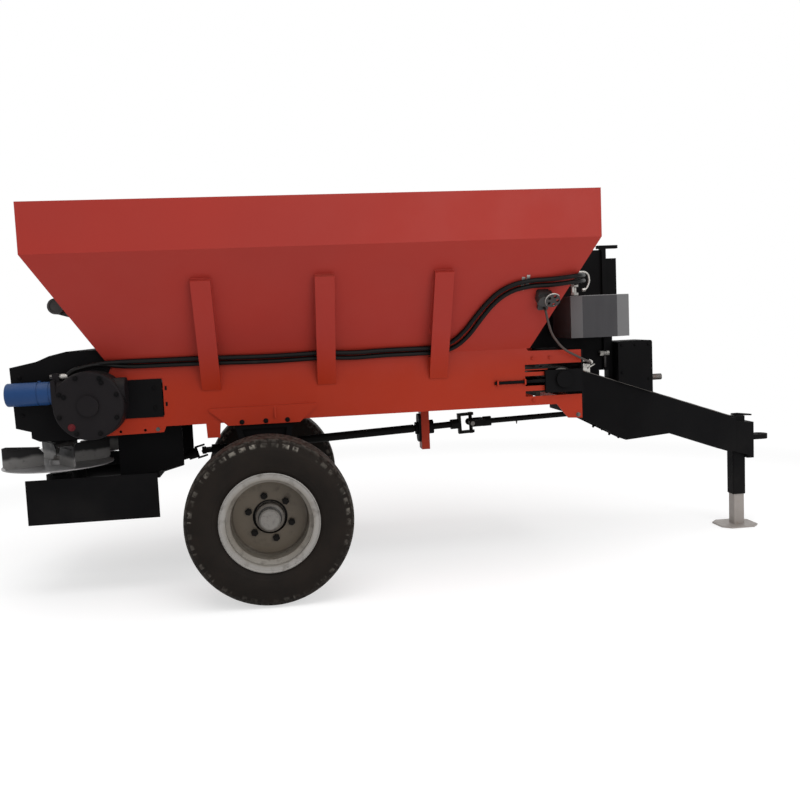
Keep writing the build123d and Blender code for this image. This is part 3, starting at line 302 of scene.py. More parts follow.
def paintFinish(
    name, color, shade, dust, dustAmount, roughness, specular=0.14, lowDust=0.7, lowColor=None, flankShadeColor=None
):
    # sprayed paint: broad changes of tone, faint orange peel, dust on level faces and low down, and where a flank
    # colour is given, painted shade on faces square to the Y axis
    # dust = (larger of upward and low share + a little everywhere) * cloud * amount
    q = paintLook
    s = Shader(name)
    broad = s.ramp(s.noise(q["broadScale"], 2.0), 0.3, 0.75)
    body = s.mix(broad, color, shade)
    if lowColor:
        body = s.mix(s.ramp(s.axis("Z"), q["lowFrom"], q["lowTo"]), body, lowColor)
    # painted shade: faces square to the Y axis take the darker flank colour
    if flankShadeColor:
        body = s.mix(s.facing("Y"), body, flankShadeColor)
    streaks = s.ramp(s.noise(q["streakScale"], 4.0, stretch=(3.0, 3.0, 0.5)), 0.45, 0.8, 0.0, 0.35)
    body = s.mix(s.math("MULTIPLY", streaks, dustAmount), body, shade)
    low = s.ramp(s.axis("Z"), lowDust, q["ground"])
    cloud = s.ramp(s.noise(q["cloudScale"], 5.0, rough=0.55), 0.35, 0.75)
    settled = s.math("MAXIMUM", s.upward(), s.math("MULTIPLY", low, q["lowShare"]))
    amount = s.math("MULTIPLY", s.math("ADD", settled, q["everywhere"]), cloud)
    amount = s.math("MULTIPLY", amount, dustAmount)
    body = s.mix(amount, body, dust)
    gloss = s.ramp(s.noise(q["glossScale"], 4.0), 0.3, 0.7, roughness - 0.05, roughness + 0.08)
    normal = s.bump(s.noise(q["peelScale"], 2.0), 0.05, 0.0005)
    normal = s.bump(s.noise(q["dentScale"], 1.0), 0.10, 0.008, normal)
    return s.set(
        color=body, roughness=s.math("ADD", gloss, s.math("MULTIPLY", amount, q["duller"])), normal=normal,
        specular=specular,
    )


def bareMetal(name, color, dark, roughness, grain=(1, 1, 1), grainScale=160, rust=None, metallic=0.85):
    # brushed or turned metal: fine grain along one way, smeared dark patches, a little rust
    s = Shader(name)
    streak = s.noise(grainScale, 3.0, stretch=grain)
    patch = s.ramp(s.noise(7, 4.0), 0.4, 0.8)
    body = s.mix(s.math("MULTIPLY", patch, 0.5), color, dark)
    body = s.mix(s.ramp(streak, 0.35, 0.75, 0.0, 0.25), body, dark)
    if rust:
        body = s.mix(s.ramp(s.noise(22, 6.0, rough=0.65), 0.58, 0.75, 0.0, 0.7), body, rust)
    gloss = s.ramp(s.noise(18, 4.0), 0.3, 0.7, roughness - 0.05, roughness + 0.12)
    return s.set(color=body, metallic=metallic, roughness=gloss, normal=s.bump(streak, 0.2, 0.0003))


def rubberFinish(name, color, dust, dustLow, dustHigh, roughness, bumpScale=220):
    # rubber: near black, pale dust in soft blotches, a fine moulded grain
    s = Shader(name)
    blotch = s.ramp(s.noise(9, 5.0, rough=0.55), dustLow, dustHigh, 0.0, 0.8)
    body = s.mix(blotch, color, dust)
    return s.set(
        color=body, roughness=s.ramp(blotch, 0, 1, roughness, min(roughness + 0.15, 0.98)),
        normal=s.bump(s.noise(bumpScale, 3.0), 0.3, 0.0005), specular=0.12,
    )


def tyreFinish(name, color, brown, dust):
    # tyre rubber: brown-black sidewall, pale dust held on the lug ends by the piece's own attribute, which also
    # carries painted light: the ends show more of it on the upper half
    s = Shader(name)
    body = s.mix(s.ramp(s.noise(7, 4.0), 0.35, 0.7), color, brown)
    broken = s.ramp(s.noise(46, 4.0, rough=0.6), 0.36, 0.62)
    held = s.math("MULTIPLY", s.attribute("dust"), broken)
    body = s.mix(held, body, dust)
    return s.set(
        color=body, roughness=s.ramp(held, 0, 1, 0.6, 0.95), normal=s.bump(s.noise(300, 3.0), 0.25, 0.0005),
        specular=0.07,
    )


# radii on the wheel, as the two ends of a smooth step from one tone to the next
rimZones = {
    "disc": (0.165, 0.185), "lip": (0.19, 0.215), "seamRise": (0.1665, 0.1725), "seamFall": (0.1815, 0.1745),
    "wobble": 0.03, "seamShare": 0.75,
}
# the hub's gap ring and its black beyond the collar carry painted shade
hubZones = {
    "collar": (0.0490, 0.0497), "shadeGapRise": (0.0492, 0.0499), "shadeGapFall": (0.0545, 0.0535),
    "flange": (0.068, 0.0705), "dull": (0.066, 0.071),
}


def rimFinish(name, color, brown, bright, dark):
    # wheel paint that goes brown towards the middle of the disc and stays bright on the lip
    # place = radius + wobble * (noise - 0.5), and the dark seam is a rise times a fall over the radius
    q = rimZones
    s = Shader(name)
    radius = s.fromLine(axleLine["x"], axleLine["z"])
    wobble = s.math("MULTIPLY", s.math("SUBTRACT", s.noise(13, 4.0), 0.5), q["wobble"])
    place = s.math("ADD", radius, wobble)
    body = s.mix(s.ramp(place, *q["disc"]), brown, color)
    body = s.mix(s.ramp(place, *q["lip"]), body, bright)
    grime = s.ramp(s.noise(21, 6.0, rough=0.6), 0.5, 0.75, 0.0, 0.55)
    body = s.mix(grime, body, dark)
    seam = s.math("MULTIPLY", s.ramp(radius, *q["seamRise"]), s.ramp(radius, *q["seamFall"]))
    body = s.mix(s.math("MULTIPLY", seam, q["seamShare"]), body, dark)
    return s.set(
        color=body, roughness=s.ramp(grime, 0, 1, 0.42, 0.75), normal=s.bump(s.noise(190, 2.0), 0.08, 0.0005),
        specular=0.3,
    )


def hubFinish(name, cap, collar, black):
    # bright cap and collar in the middle with painted shade in the gap round them, then black: the nuts' own
    # black, and painted shade in the recess seen through the disc's bore
    q = hubZones
    s = Shader(name)
    radius = s.fromLine(axleLine["x"], axleLine["z"])
    body = s.mix(s.ramp(radius, *q["collar"]), cap, collar)
    # painted shade in the gap between cap and collar
    gap = s.math("MULTIPLY", s.ramp(radius, *q["shadeGapRise"]), s.ramp(radius, *q["shadeGapFall"]))
    body = s.mix(gap, body, black)
    body = s.mix(s.ramp(radius, *q["flange"]), body, black)
    speck = s.ramp(s.noise(60, 5.0, rough=0.6), 0.5, 0.75, 0.0, 0.4)
    body = s.mix(speck, body, black)
    return s.set(
        color=body, roughness=s.ramp(speck, 0, 1, 0.4, 0.7), normal=s.bump(s.noise(150, 3.0), 0.1, 0.0005),
        specular=s.ramp(radius, *q["dull"], 0.3, 0.06),
    )


dustTone = (0.19, 0.155, 0.12)
redDust = (0.30, 0.10, 0.07)
blackDust = (0.034, 0.031, 0.028)
axleLine = {"x": -0.794, "z": 0.3875}
finishes = {
    "red": paintFinish(
        "hopper_red_paint", (0.318, 0.0285, 0.0200), (0.290, 0.0285, 0.0215), redDust, 0.25, 0.45,
        lowColor=(0.325, 0.0225, 0.0055),
    ),
    "black": paintFinish(
        "frame_black_paint", (0.0040, 0.0038, 0.0041), (0.0055, 0.0054, 0.0059), blackDust, 0.35, 0.55, 0.035
    ),
    "grey": paintFinish(
        "tank_grey_paint", (0.155, 0.154, 0.156), (0.140, 0.140, 0.143), dustTone, 0.2, 0.42,
        # the flank colour is painted shade on the tank's flat sides
        flankShadeColor=(0.041, 0.040, 0.043),
    ),
    "blue": paintFinish(
        "motor_blue_paint", (0.0095, 0.048, 0.155), (0.0075, 0.036, 0.118), (0.07, 0.09, 0.12), 0.25, 0.4, 0.2
    ),
    "silver": rimFinish(
        "rim_silver_paint", (0.185, 0.168, 0.144), (0.105, 0.084, 0.060), (0.255, 0.243, 0.227),
        (0.050, 0.040, 0.030),
    ),
    "hub_steel": hubFinish(
        "hub_and_nut_paint", (0.165, 0.155, 0.142), (0.115, 0.102, 0.088), (0.0075, 0.0065, 0.0060)
    ),
    "shaft_paint": paintFinish(
        "shaft_black_paint", (0.0042, 0.0040, 0.0038), (0.0058, 0.0054, 0.0050), blackDust, 0.3, 0.5, 0.045
    ),
    "shaft_steel": bareMetal(
        "turned_steel", (0.11, 0.102, 0.096), (0.045, 0.040, 0.036), 0.4, (14, 1, 1), rust=(0.12, 0.05, 0.03)
    ),
    "bright_steel": bareMetal("zinc_plate", (0.44, 0.425, 0.40), (0.24, 0.225, 0.20), 0.38, metallic=0.6),
    "stainless": bareMetal(
        "spinner_stainless", (0.27, 0.262, 0.262), (0.13, 0.125, 0.122), 0.42, (1, 12, 1), metallic=0.5
    ),
    "leg_steel": bareMetal(
        "galvanised_tube", (0.300, 0.272, 0.252), (0.215, 0.192, 0.176), 0.46, (1, 1, 6),
        rust=(0.24, 0.19, 0.15), metallic=0.3,
    ),
    "dark_steel": bareMetal("dark_fitting_steel", (0.035, 0.031, 0.030), (0.014, 0.013, 0.013), 0.5, metallic=0.3),
    "belt": rubberFinish("belt_rubber", (0.016, 0.015, 0.014), (0.05, 0.038, 0.028), 0.45, 0.75, 0.7),
    "hose": rubberFinish("hose_rubber", (0.0045, 0.0042, 0.0042), (0.02, 0.018, 0.016), 0.55, 0.85, 0.42, 420),
    "tyre": tyreFinish("tyre_rubber", (0.0092, 0.0074, 0.0062), (0.0132, 0.0100, 0.0080), (0.24, 0.220, 0.190)),
}
pipeFinish = bareMetal("supply_pipe_steel", (0.060, 0.042, 0.036), (0.026, 0.018, 0.015), 0.42, metallic=0.4)
plugFinish = paintFinish("plug_crimson_paint", (0.10, 0.006, 0.010), (0.075, 0.005, 0.008), redDust, 0.2, 0.45)
# the vanes' upper tone is painted shade, the lower one their grey sheet
vaneTones = {
    "upper": (0.012, 0.0115, 0.012), "lower": (0.16, 0.155, 0.15), "from": 0.678, "to": 0.700, "wobble": 0.03,
}


def vaneShadeFinish(name, tones):
    # sheet vanes: grey near the disc, near black above it as painted shade, with a wobbly line between and random
    # blotches of the dark tone
    # height = z + wobble * (noise - 0.5)
    s = Shader(name)
    wobble = s.math("MULTIPLY", s.math("SUBTRACT", s.noise(16, 5.0), 0.5), tones["wobble"])
    height = s.math("ADD", s.axis("Z"), wobble)
    body = s.mix(s.ramp(height, tones["from"], tones["to"]), tones["lower"], tones["upper"])
    body = s.mix(s.ramp(s.noise(40, 4.0), 0.55, 0.8, 0.0, 0.35), body, tones["upper"])
    return s.set(
        color=body, metallic=0.3, roughness=s.ramp(s.noise(18, 4.0), 0.3, 0.7, 0.42, 0.58),
        normal=s.bump(s.noise(160, 3.0), 0.15, 0.0003), specular=0.15,
    )


vanePaintedShade = vaneShadeFinish("spinner_vane_painted_shade", vaneTones)
reducerPaint = paintFinish(
    "reducer_black_paint", (0.0088, 0.0078, 0.0086), (0.0115, 0.0100, 0.0110), (0.06, 0.055, 0.05), 0.5, 0.5, 0.05
)
# nodes that don't take the finish of their material slot
ownFinish = {
    "supply_pipe": pipeFinish, "vanes_right": vanePaintedShade, "vanes_left": vanePaintedShade, "conveyor_reducer": reducerPaint,
}
for subpart in frame["record"]["subparts"]:
    node = nodes[subpart["node"]]
    finish = ownFinish.get(subpart["node"], finishes[subpart["material_slot"]])
    if not node.material_slots:
        node.data.materials.append(finish)
    for place in node.material_slots:
        place.material = finish
print("stage: finishes made", len(finishes))


def arcThrough(first, between, last, steps):
    # points of the circle through three points, from the first to the last, at even angles
    # the centre is as far from the first point as from the other two: two equations, linear in its place
    (x1, y1), (x2, y2), (x3, y3) = first, between, last
    matrix = np.array([[x2 - x1, y2 - y1], [x3 - x1, y3 - y1]]) * 2
    right = np.array([x2**2 - x1**2 + y2**2 - y1**2, x3**2 - x1**2 + y3**2 - y1**2])
    centre = np.linalg.solve(matrix, right)
    turns = np.unwrap([math.atan2(y - centre[1], x - centre[0]) for x, y in (first, between, last)])
    t = np.linspace(turns[0], turns[2], steps)
    radius = math.dist(first, centre)
    return np.stack([centre[0] + radius * np.cos(t), centre[1] + radius * np.sin(t)], -1)


def smooth(value, low, high):
    # 3 t^2 - 2 t^3, with t going from 0 at low to 1 at high
    t = np.clip((value - low) / (high - low), 0, 1)
    return t * t * (3 - 2 * t)


# (radius, offset) points of the tyre's section, then its relief, where a pair is the two ends of a smooth step
tyreSizes = {
    "middle": 0.73, "lugs": 46, "rowsPerLug": 14, "lugSlant": 3.0, "grooveDepth": 0.006,
    "grooveStep": (0.13, 0.20),
    "bead": ((0.2035, 0.1043), (0.2290, 0.1047), (0.2340, 0.1075)),
    "sidewall": ((0.240, 0.111), (0.298, 0.1282), (0.352, 0.1207)),
    "shoulder": ((0.353, 0.1205), (0.372, 0.1128), (0.3815, 0.0990)),
    "crown": ((0.3822, 0.094), (0.3874, 0.0), (0.3822, -0.094)),
    "inside": ((0.2035, -0.084), (0.300, -0.108), (0.366, 0.0), (0.300, 0.108), (0.2035, 0.084)),
    "core": (0.29, 0.0), "wallFrom": 0.1,
    "lugEnd": (0.050, 0.056), "lugFoot": (0.3605, 0.3690), "lugTop": (0.3770, 0.3815),
    "centreGroove": 0.030, "zigzag": 0.006, "centreStep": (0.0030, 0.0052), "centreRadius": (0.372, 0.378),
    "sipeStep": (0.05, 0.09), "sipeHalf": 0.024, "sipeRadius": (0.38, 0.384), "sipeDepth": 0.5,
    "barHeight": 0.0016, "barFoot": (0.3465, 0.3490), "barTop": (0.3630, 0.3660), "barStep": (0.16, 0.21),
    "ringHeight": 0.0014, "rings": ((0.3345, 0.0022), (0.262, 0.004), (0.247, 0.003)),
}
# dust on the bars' ends, patchy from lug to lug, with painted light that makes them brighter on the upper half,
# and thin dust on the tread
tyreDustAndLight = {
    "seed": 5, "patchPower": 1.6, "lowest": 0.3, "litUpperStep": (-0.15, 0.35), "bars": 0.85, "tread": 0.16,
    "treadStep": (0.366, 0.380), "keptFromGrooves": 0.8,
}


def tyreShape(side):
    # point = axle + r * (cos t, sin t), and middle + y across; (r, y) = section point + lift * section normal
    # lift = bars + rings - grooves, each a height times smooth steps over radius, offset and turn
    q, d = tyreSizes, tyreDustAndLight
    outer = [
        np.array(q["bead"]), arcThrough(*q["sidewall"], 26), arcThrough(*q["shoulder"], 12),
        arcThrough(*q["crown"], 34),
    ]
    mirrored = [np.flip(part * [1, -1], 0) for part in outer[2::-1]]
    section = np.concatenate(outer + mirrored + [np.array(q["inside"])])
    along = np.roll(section, -1, 0) - np.roll(section, 1, 0)
    normal = np.stack([-along[:, 1], along[:, 0]], -1)
    normal /= np.linalg.norm(normal, axis=1)[:, None]
    radius, offset = section.T
    outward = np.arange(len(section)) < len(section) - len(q["inside"])
    if np.sum(normal[outward] * (section[outward] - q["core"])) < 0:
        normal = -normal
    rows = q["lugs"] * q["rowsPerLug"]
    t = np.linspace(0, 2 * np.pi, rows, endpoint=False)[:, None]
    phase = t * q["lugs"] / (2 * np.pi)
    # the lugs of one half stand half a lug on from those of the other
    lugPhase = np.mod(phase + np.where(offset > 0, 0.0, 0.5)[None] + np.abs(offset)[None] * q["lugSlant"], 1.0)
    cut = 1 - smooth(np.abs(lugPhase - 0.5), *q["grooveStep"])
    shoulder = smooth(radius, *q["lugFoot"]) * (1 - smooth(radius, *q["lugTop"]))
    shoulder = smooth(np.abs(offset), *q["lugEnd"])[None] * shoulder[None]
    zigzag = np.abs(np.mod(phase, 1.0) * 2 - 1) * 2 - 1
    middleGap = np.abs(np.abs(offset)[None] - q["centreGroove"] - q["zigzag"] * zigzag)
    circles = (1 - smooth(middleGap, *q["centreStep"])) * smooth(radius, *q["centreRadius"])[None]
    sipes = 1 - smooth(np.abs(np.mod(phase + 0.25, 1.0) - 0.5), *q["sipeStep"])
    sipes = sipes * (np.abs(offset) < q["sipeHalf"])[None]
    sipes = q["sipeDepth"] * sipes * smooth(radius, *q["sipeRadius"])[None]
    depth = q["grooveDepth"] * np.maximum(np.maximum(cut * shoulder, circles), sipes)
    wall = (np.abs(offset) > q["wallFrom"])[None] & outward[None]
    bars = smooth(radius, *q["barFoot"])[None] * (1 - smooth(radius, *q["barTop"]))[None]
    bars = bars * smooth(np.abs(lugPhase - 0.5), *q["barStep"]) * wall
    rings = sum(np.exp(-(((radius - place) / width) ** 2)) for place, width in q["rings"])
    lift = q["barHeight"] * bars + q["ringHeight"] * rings[None] * wall - depth * outward[None]
    r = radius[None] + lift * normal[None, :, 0]
    y = offset[None] + lift * normal[None, :, 1]
    x = axleLine["x"] + r * np.cos(t)
    z = axleLine["z"] + r * np.sin(t)
    points = np.stack([x, side * (q["middle"] + y), z], -1).reshape(-1, 3)
    faces = gridFaces(rows, len(section), True, True)
    patchy = np.random.default_rng(d["seed"]).uniform(0.0, 1.0, q["lugs"]) ** d["patchPower"]
    patchy = patchy[np.mod(np.floor(phase + 0.5).astype(int), q["lugs"])]
    # painted light: the bars' ends are brighter on the upper half, where the lamps fall
    litUpperHalf = d["lowest"] + (1 - d["lowest"]) * smooth(np.sin(t), *d["litUpperStep"])
    treadDust = d["tread"] * smooth(radius, *d["treadStep"])[None]
    treadDust = treadDust * (1 - d["keptFromGrooves"] * depth / q["grooveDepth"])
    dust = np.clip(d["bars"] * bars * patchy * litUpperHalf + treadDust, 0, 1)
    return points, (faces if side > 0 else faces[:, ::-1]), np.broadcast_to(dust, r.shape).ravel()


def facingOut(points, faces):
    # the same faces, turned over if the closed shape they make has a negative volume
    a, b, c = (points[faces[:, i]] for i in (0, 1, 2))
    volume = np.sum(a * np.cross(b, c))
    if faces.shape[1] == 4:
        volume += np.sum(a * np.cross(c, points[faces[:, 3]]))
    return faces if volume > 0 else faces[:, ::-1]


hands = (("right", -1), ("left", 1))
for sideName, side in hands:
    points, faces, dust = tyreShape(side)
    tyre = newPiece(
        "tyre_tread_" + sideName, points, facingOut(points, faces), finishes["tyre"], "wheel_" + sideName,
    )
    layer = tyre.data.attributes.new("dust", "FLOAT", "POINT")
    layer.data.foreach_set("value", dust.astype(np.float32))
    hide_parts("tyre_" + sideName)
print("stage: tyres made")


# the hopper's side slopes, repeated from their sizes: half-width 0.449 at the foot, 0.798 at the band
slopeSizes = {"foot": 1.103, "top": 1.620, "footHalf": 0.449, "topHalf": 0.798}
axleX = axleLine["x"]


def slopeHalf(z):
    # half-width = foot half + run * (z - foot) / rise
    q = slopeSizes
    return q["footHalf"] + (q["topHalf"] - q["footHalf"]) * (z - q["foot"]) / (q["top"] - q["foot"])


def offSlope(d, z, standOff=0.0, side=-1):
    # point on a side slope moved standOff metres along the slope's outward normal
    q = slopeSizes
    rise, run = q["top"] - q["foot"], q["topHalf"] - q["footHalf"]
    length = math.hypot(rise, run)
    z = np.asarray(z, float)
    across = side * (slopeHalf(z) + standOff * rise / length)
    return np.stack([axleX + np.asarray(d) + 0 * z, across, z - standOff * run / length], -1)


def at(d, y, z):
    # a point whose first number counts from the axle
    return np.array([axleX + d, y, z])


def joinedPiece(name, shapes, finishName, body="chassis", smooth=False):
    # several shapes, all with four-cornered faces, as one piece
    points, faces = joined(shapes)
    return newPiece(name, points, faces, finishes[finishName], body, smooth=smooth)


def boltGroup(name, places, axis, size, height, finishName, body="chassis"):
    # every bolt of one kind on one body, as one piece
    return joinedPiece(name, [boltShape(place, axis, size, height) for place in places], finishName, body)


boltTable = {
    # name: (places as d, |y|, z), head's radius, height, finish
    "axle_bracket_bolts": (
        [(-0.115, 0.459, 0.812), (0.0, 0.459, 0.812), (0.105, 0.459, 0.812)], 0.0090, 0.009, "black",
    ),
    "gusset_bolts": ([(1.584, 0.449, 0.752)], 0.0085, 0.008, "shaft_steel"),
    "hanger_front_bolts": ([(-0.515, 0.449, 0.799)], 0.0075, 0.008, "shaft_steel"),
    "hood_bolts": (
        [
            (-1.130, 0.455, 1.080), (-1.130, 0.455, 0.900), (-0.520, 0.455, 0.905), (-0.520, 0.455, 1.000),
            (-0.700, 0.455, 1.130),
        ], 0.0080, 0.007, "black",
    ),
    "rail_bolts": ([(1.350, 0.449, 1.052), (1.440, 0.449, 1.052), (1.350, 0.449, 0.839)], 0.0075, 0.007, "red"),
}
for name, (places, size, height, finishName) in boltTable.items():
    for sideName, side in hands:
        sidePlaces = [at(d, side * y, z) for d, y, z in places]
        boltGroup(name + "_" + sideName, sidePlaces, (0, side, 0), size, height, finishName)

# the reducer's cover bolts stand on a circle, its plugs on the cover
reducer = {
    "d": -0.800, "z": 0.940, "circle": 0.138, "face": -0.601, "count": 8, "firstTurn": 20, "bolt": (0.0082, 0.006),
    "cover": -0.5955, "drain": (-0.880, 0.845), "drainPlug": (0.0125, 0.008),
    "levels": ((-0.905, 0.985), (-0.735, 1.045)), "levelPlug": (0.0085, 0.006),
}
turns = np.radians(reducer["firstTurn"] + 360 / reducer["count"] * np.arange(reducer["count"]))
places = [
    at(reducer["d"] + reducer["circle"] * np.cos(t), reducer["face"], reducer["z"] + reducer["circle"] * np.sin(t))
    for t in turns
]
boltGroup("reducer_cover_bolts", places, (0, -1, 0), *reducer["bolt"], "black")
d, z = reducer["drain"]
plug = boltGroup("reducer_plug", [at(d, reducer["cover"], z)], (0, -1, 0), *reducer["drainPlug"], "red")
plug.data.materials[0] = plugFinish
places = [at(d, reducer["cover"], z) for d, z in reducer["levels"]]
boltGroup("reducer_level_plugs", places, (0, -1, 0), *reducer["levelPlug"], "black")
print("stage: bolts made")


def nutShape(place, axis, height, radius, sides=6):
    # point = place + along * axis + radius * (cos t, sin t): a chamfered prism with closed ends
    edge, chamfer = radius * 0.9, 0.1
    profile = [
        (0, 0), (0, edge), (height * chamfer, radius), (height * (1 - chamfer), radius), (height, edge),
        (height, 0),
    ]
    return turnedShape(profile, place, axis, sides)


def tubePiece(name, corners, radius, bend, finishName, body="chassis"):
    points, faces = tubeAlong(roundedPath(corners, bend), radius)
    return newPiece(name, points, faces, finishes[finishName], body)


returnPipe = {
    "corners": [
        (1.640, -0.290, 1.482), (1.705, -0.290, 1.486), (1.722, -0.285, 1.440), (1.700, -0.290, 1.392),
        (1.676, -0.290, 1.388),
    ],
    "radius": 0.0052, "bend": 0.030,
    # place, axis, height, radius
    "nuts": [
        ((1.634, -0.290, 1.482), (1, 0.0, 0.06), 0.016, 0.0095),
        ((1.694, -0.290, 1.391), (-1, 0, -0.15), 0.018, 0.0095),
    ],
}
corners = [at(*corner) for corner in returnPipe["corners"]]
tubePiece("return_pipe", corners, returnPipe["radius"], returnPipe["bend"], "bright_steel")
nuts = [nutShape(at(*place), axis, height, radius) for place, axis, height, radius in returnPipe["nuts"]]
joinedPiece("return_pipe_nuts", nuts, "bright_steel")

fitting = {
    "d": 1.862, "y": -0.025, "z": 1.040,
    # distance ahead of the first nut's face, height, radius
    "nuts": ((0, 0.022, 0.0150), (0.024, 0.014, 0.0105), (0.038, 0.018, 0.0135)),
    "stemAhead": 0.031, "stemInset": 0.004, "stemMiddle": 1.0, "stemFoot": 0.960, "stemRadius": 0.0075,
    "stemBend": 0.01,
}
nuts = [
    nutShape(at(fitting["d"] + ahead, fitting["y"], fitting["z"]), (1, 0, 0), height, radius)
    for ahead, height, radius in fitting["nuts"]
]
joinedPiece("valve_fitting", nuts, "bright_steel")
heights = (fitting["z"] - fitting["stemInset"], fitting["stemMiddle"], fitting["stemFoot"])
corners = [at(fitting["d"] + fitting["stemAhead"], fitting["y"], z) for z in heights]
tubePiece("valve_fitting_stem", corners, fitting["stemRadius"], fitting["stemBend"], "dark_steel")

beamPin = {
    "corners": ((1.756, -0.120, 0.966), (1.776, -0.120, 0.977), (1.797, -0.120, 0.988)), "radius": 0.0048,
    "bend": 0.01,
}
corners = [at(*corner) for corner in beamPin["corners"]]
tubePiece("beam_pin", corners, beamPin["radius"], beamPin["bend"], "bright_steel")

# bolts under the beam's lower edge, square to its slope
edgeBolts = {
    "places": ((1.851, 0.6205), (1.946, 0.5700)), "half": 0.070, "axis": (-0.469, 0, -0.883), "size": 0.0062,
    "height": 0.009,
}
for sideName, side in hands:
    places = [at(d, side * edgeBolts["half"], z) for d, z in edgeBolts["places"]]
    boltGroup(
        "beam_edge_bolts_" + sideName, places, edgeBolts["axis"], edgeBolts["size"], edgeBolts["height"], "black"
    )

caseSizes = {
    "rear": 1.938, "front": 2.136, "half": 0.110, "top": 1.105, "low": 0.93, "inset": 0.022, "frontLower": 0.04,
    "bolt": (0.0070, 0.006),
}
q = caseSizes
rearBolt, frontBolt, topBolt = q["rear"] + q["inset"], q["front"] - q["inset"], q["top"] - q["inset"]
for sideName, side in hands:
    places = [
        at(rearBolt, side * q["half"], topBolt), at(frontBolt, side * q["half"], topBolt),
        at(rearBolt, side * q["half"], q["low"]), at(frontBolt, side * q["half"], q["low"] - q["frontLower"]),
        at(0.5 * (q["rear"] + q["front"]), side * q["half"], topBolt),
    ]
    boltGroup("gearbox_bolts_" + sideName, places, (0, side, 0), *q["bolt"], "black")

# crimped hose ends on the motor's port block, and a nut behind it
port = {
    "face": -0.928, "gap": 0.0005, "rear": -0.960, "y": -0.532, "apart": 0.012, "z": 1.080, "nut": (0.014, 0.0110),
    "ferrule": [
        (0, 0), (0, 0.0112), (0.010, 0.0118), (0.014, 0.0115), (0.030, 0.0118), (0.036, 0.0113), (0.036, 0),
    ],
    "sides": 24,
}
ferrules = [
    turnedShape(
        port["ferrule"], at(port["face"] + port["gap"], port["y"] + hand * port["apart"], port["z"]), (1, 0, 0),
        port["sides"],
    )
    for hand in (-1, 1)
]
joinedPiece("port_ferrules", ferrules, "bright_steel", smooth=True)
nut = nutShape(at(port["rear"], port["y"], port["z"]), (-1, 0, 0), *port["nut"])
joinedPiece("port_rear_nut", [nut], "shaft_steel")

# open ring on the valve's handwheel: centre + radius * (cos t along the machine + sin t up the slope)
wheelRing = {
    "d": 1.390, "z": 1.374, "standOff": 0.068, "radius": 0.034, "thick": 0.0048, "from": 40, "to": 320,
    "steps": 48,
}
centre = offSlope(wheelRing["d"], wheelRing["z"], wheelRing["standOff"])
upSlope = offSlope(0, 1.5) - offSlope(0, 1.2)
upSlope /= np.linalg.norm(upSlope)
t = np.radians(np.linspace(wheelRing["from"], wheelRing["to"], wheelRing["steps"]))[:, None]
ring = centre + wheelRing["radius"] * (np.cos(t) * np.array([1.0, 0, 0]) + np.sin(t) * upSlope)
points, faces = tubeAlong(ring, wheelRing["thick"])
newPiece("handwheel_ring", points, faces, finishes["bright_steel"], "chassis")
print("stage: fittings made")

# weld beads up both edges of each rib and over its top; bead radius = bead * (1 + ripple * sin(rate * height))
ribs = {
    "places": (-0.250, 0.306, 0.863), "half": 0.046, "low": 1.200, "high": 1.494, "bead": 0.0032,
    "standOff": 0.0005, "over": 0.002, "ripple": 0.18, "rate": 900, "steps": 40, "acrossSteps": 24,
}
q = ribs
heights = np.linspace(q["low"], q["high"], q["steps"])
rippled = q["bead"] * (1 + q["ripple"] * np.sin(heights * q["rate"]))
for sideName, side in hands:
    beads = []
    for place in q["places"]:
        for hand in (-1, 1):
            beads.append(tubeAlong(offSlope(place + hand * q["half"], heights, q["standOff"], side), rippled, 8))
        across = np.linspace(place - q["half"], place + q["half"], q["acrossSteps"])
        level = np.full(q["acrossSteps"], q["high"] + q["over"])
        beads.append(tubeAlong(offSlope(across, level, q["standOff"], side), q["bead"], 8))
    joinedPiece("rib_welds_" + sideName, beads, "red", smooth=True)

# nuts on the tank's two risers, and the hoses' crimped ends on them
risers = {
    "places": ((1.664, -0.220), (1.632, -0.280)), "heights": (1.363, 1.408), "radius": 0.0155, "nut": 0.015,
    "ends": ((1.664, -0.2205, 1.452), (1.632, -0.2805, 1.426)), "endRadius": 0.0120, "endLength": 0.034,
    "sides": 24,
}
q = risers
nuts = [nutShape(at(d, y, z), (0, 0, 1), q["nut"], q["radius"]) for d, y in q["places"] for z in q["heights"]]
joinedPiece("riser_nuts", nuts, "bright_steel")
radius, length = q["endRadius"], q["endLength"]
profile = [
    (0, 0), (0, radius - 0.0006), (0.008, radius), (0.012, radius - 0.0005), (length - 0.004, radius),
    (length, radius - 0.0006), (length, 0),
]
ferrules = [turnedShape(profile, at(*place), (0, -1, 0), q["sides"]) for place in q["ends"]]
joinedPiece("riser_ferrules", ferrules, "bright_steel", smooth=True)

# bead along both upper edges of the drawbar's beam, in grey steel that stands for the lit edge as a painted
# highlight: z = height + fall * (d - start) - sunk
beamEdge = {
    "from": 1.742, "to": 2.604, "height": 0.953, "fall": -0.3473, "start": 1.740, "half": 0.0745, "bead": 0.0026,
    "sunk": 0.0005, "ripple": 0.15, "rate": 700, "steps": 90,
}
q = beamEdge
along = np.linspace(q["from"], q["to"], q["steps"])
rippled = q["bead"] * (1 + q["ripple"] * np.sin(along * q["rate"]))
heights = q["height"] + q["fall"] * (along - q["start"]) - q["sunk"]
edges = [np.stack([axleX + along, np.full(q["steps"], side * q["half"]), heights], -1) for side in (-1, 1)]
joinedPiece("beam_edge_welds_highlight", [tubeAlong(edge, rippled, 8) for edge in edges], "shaft_steel", smooth=True)

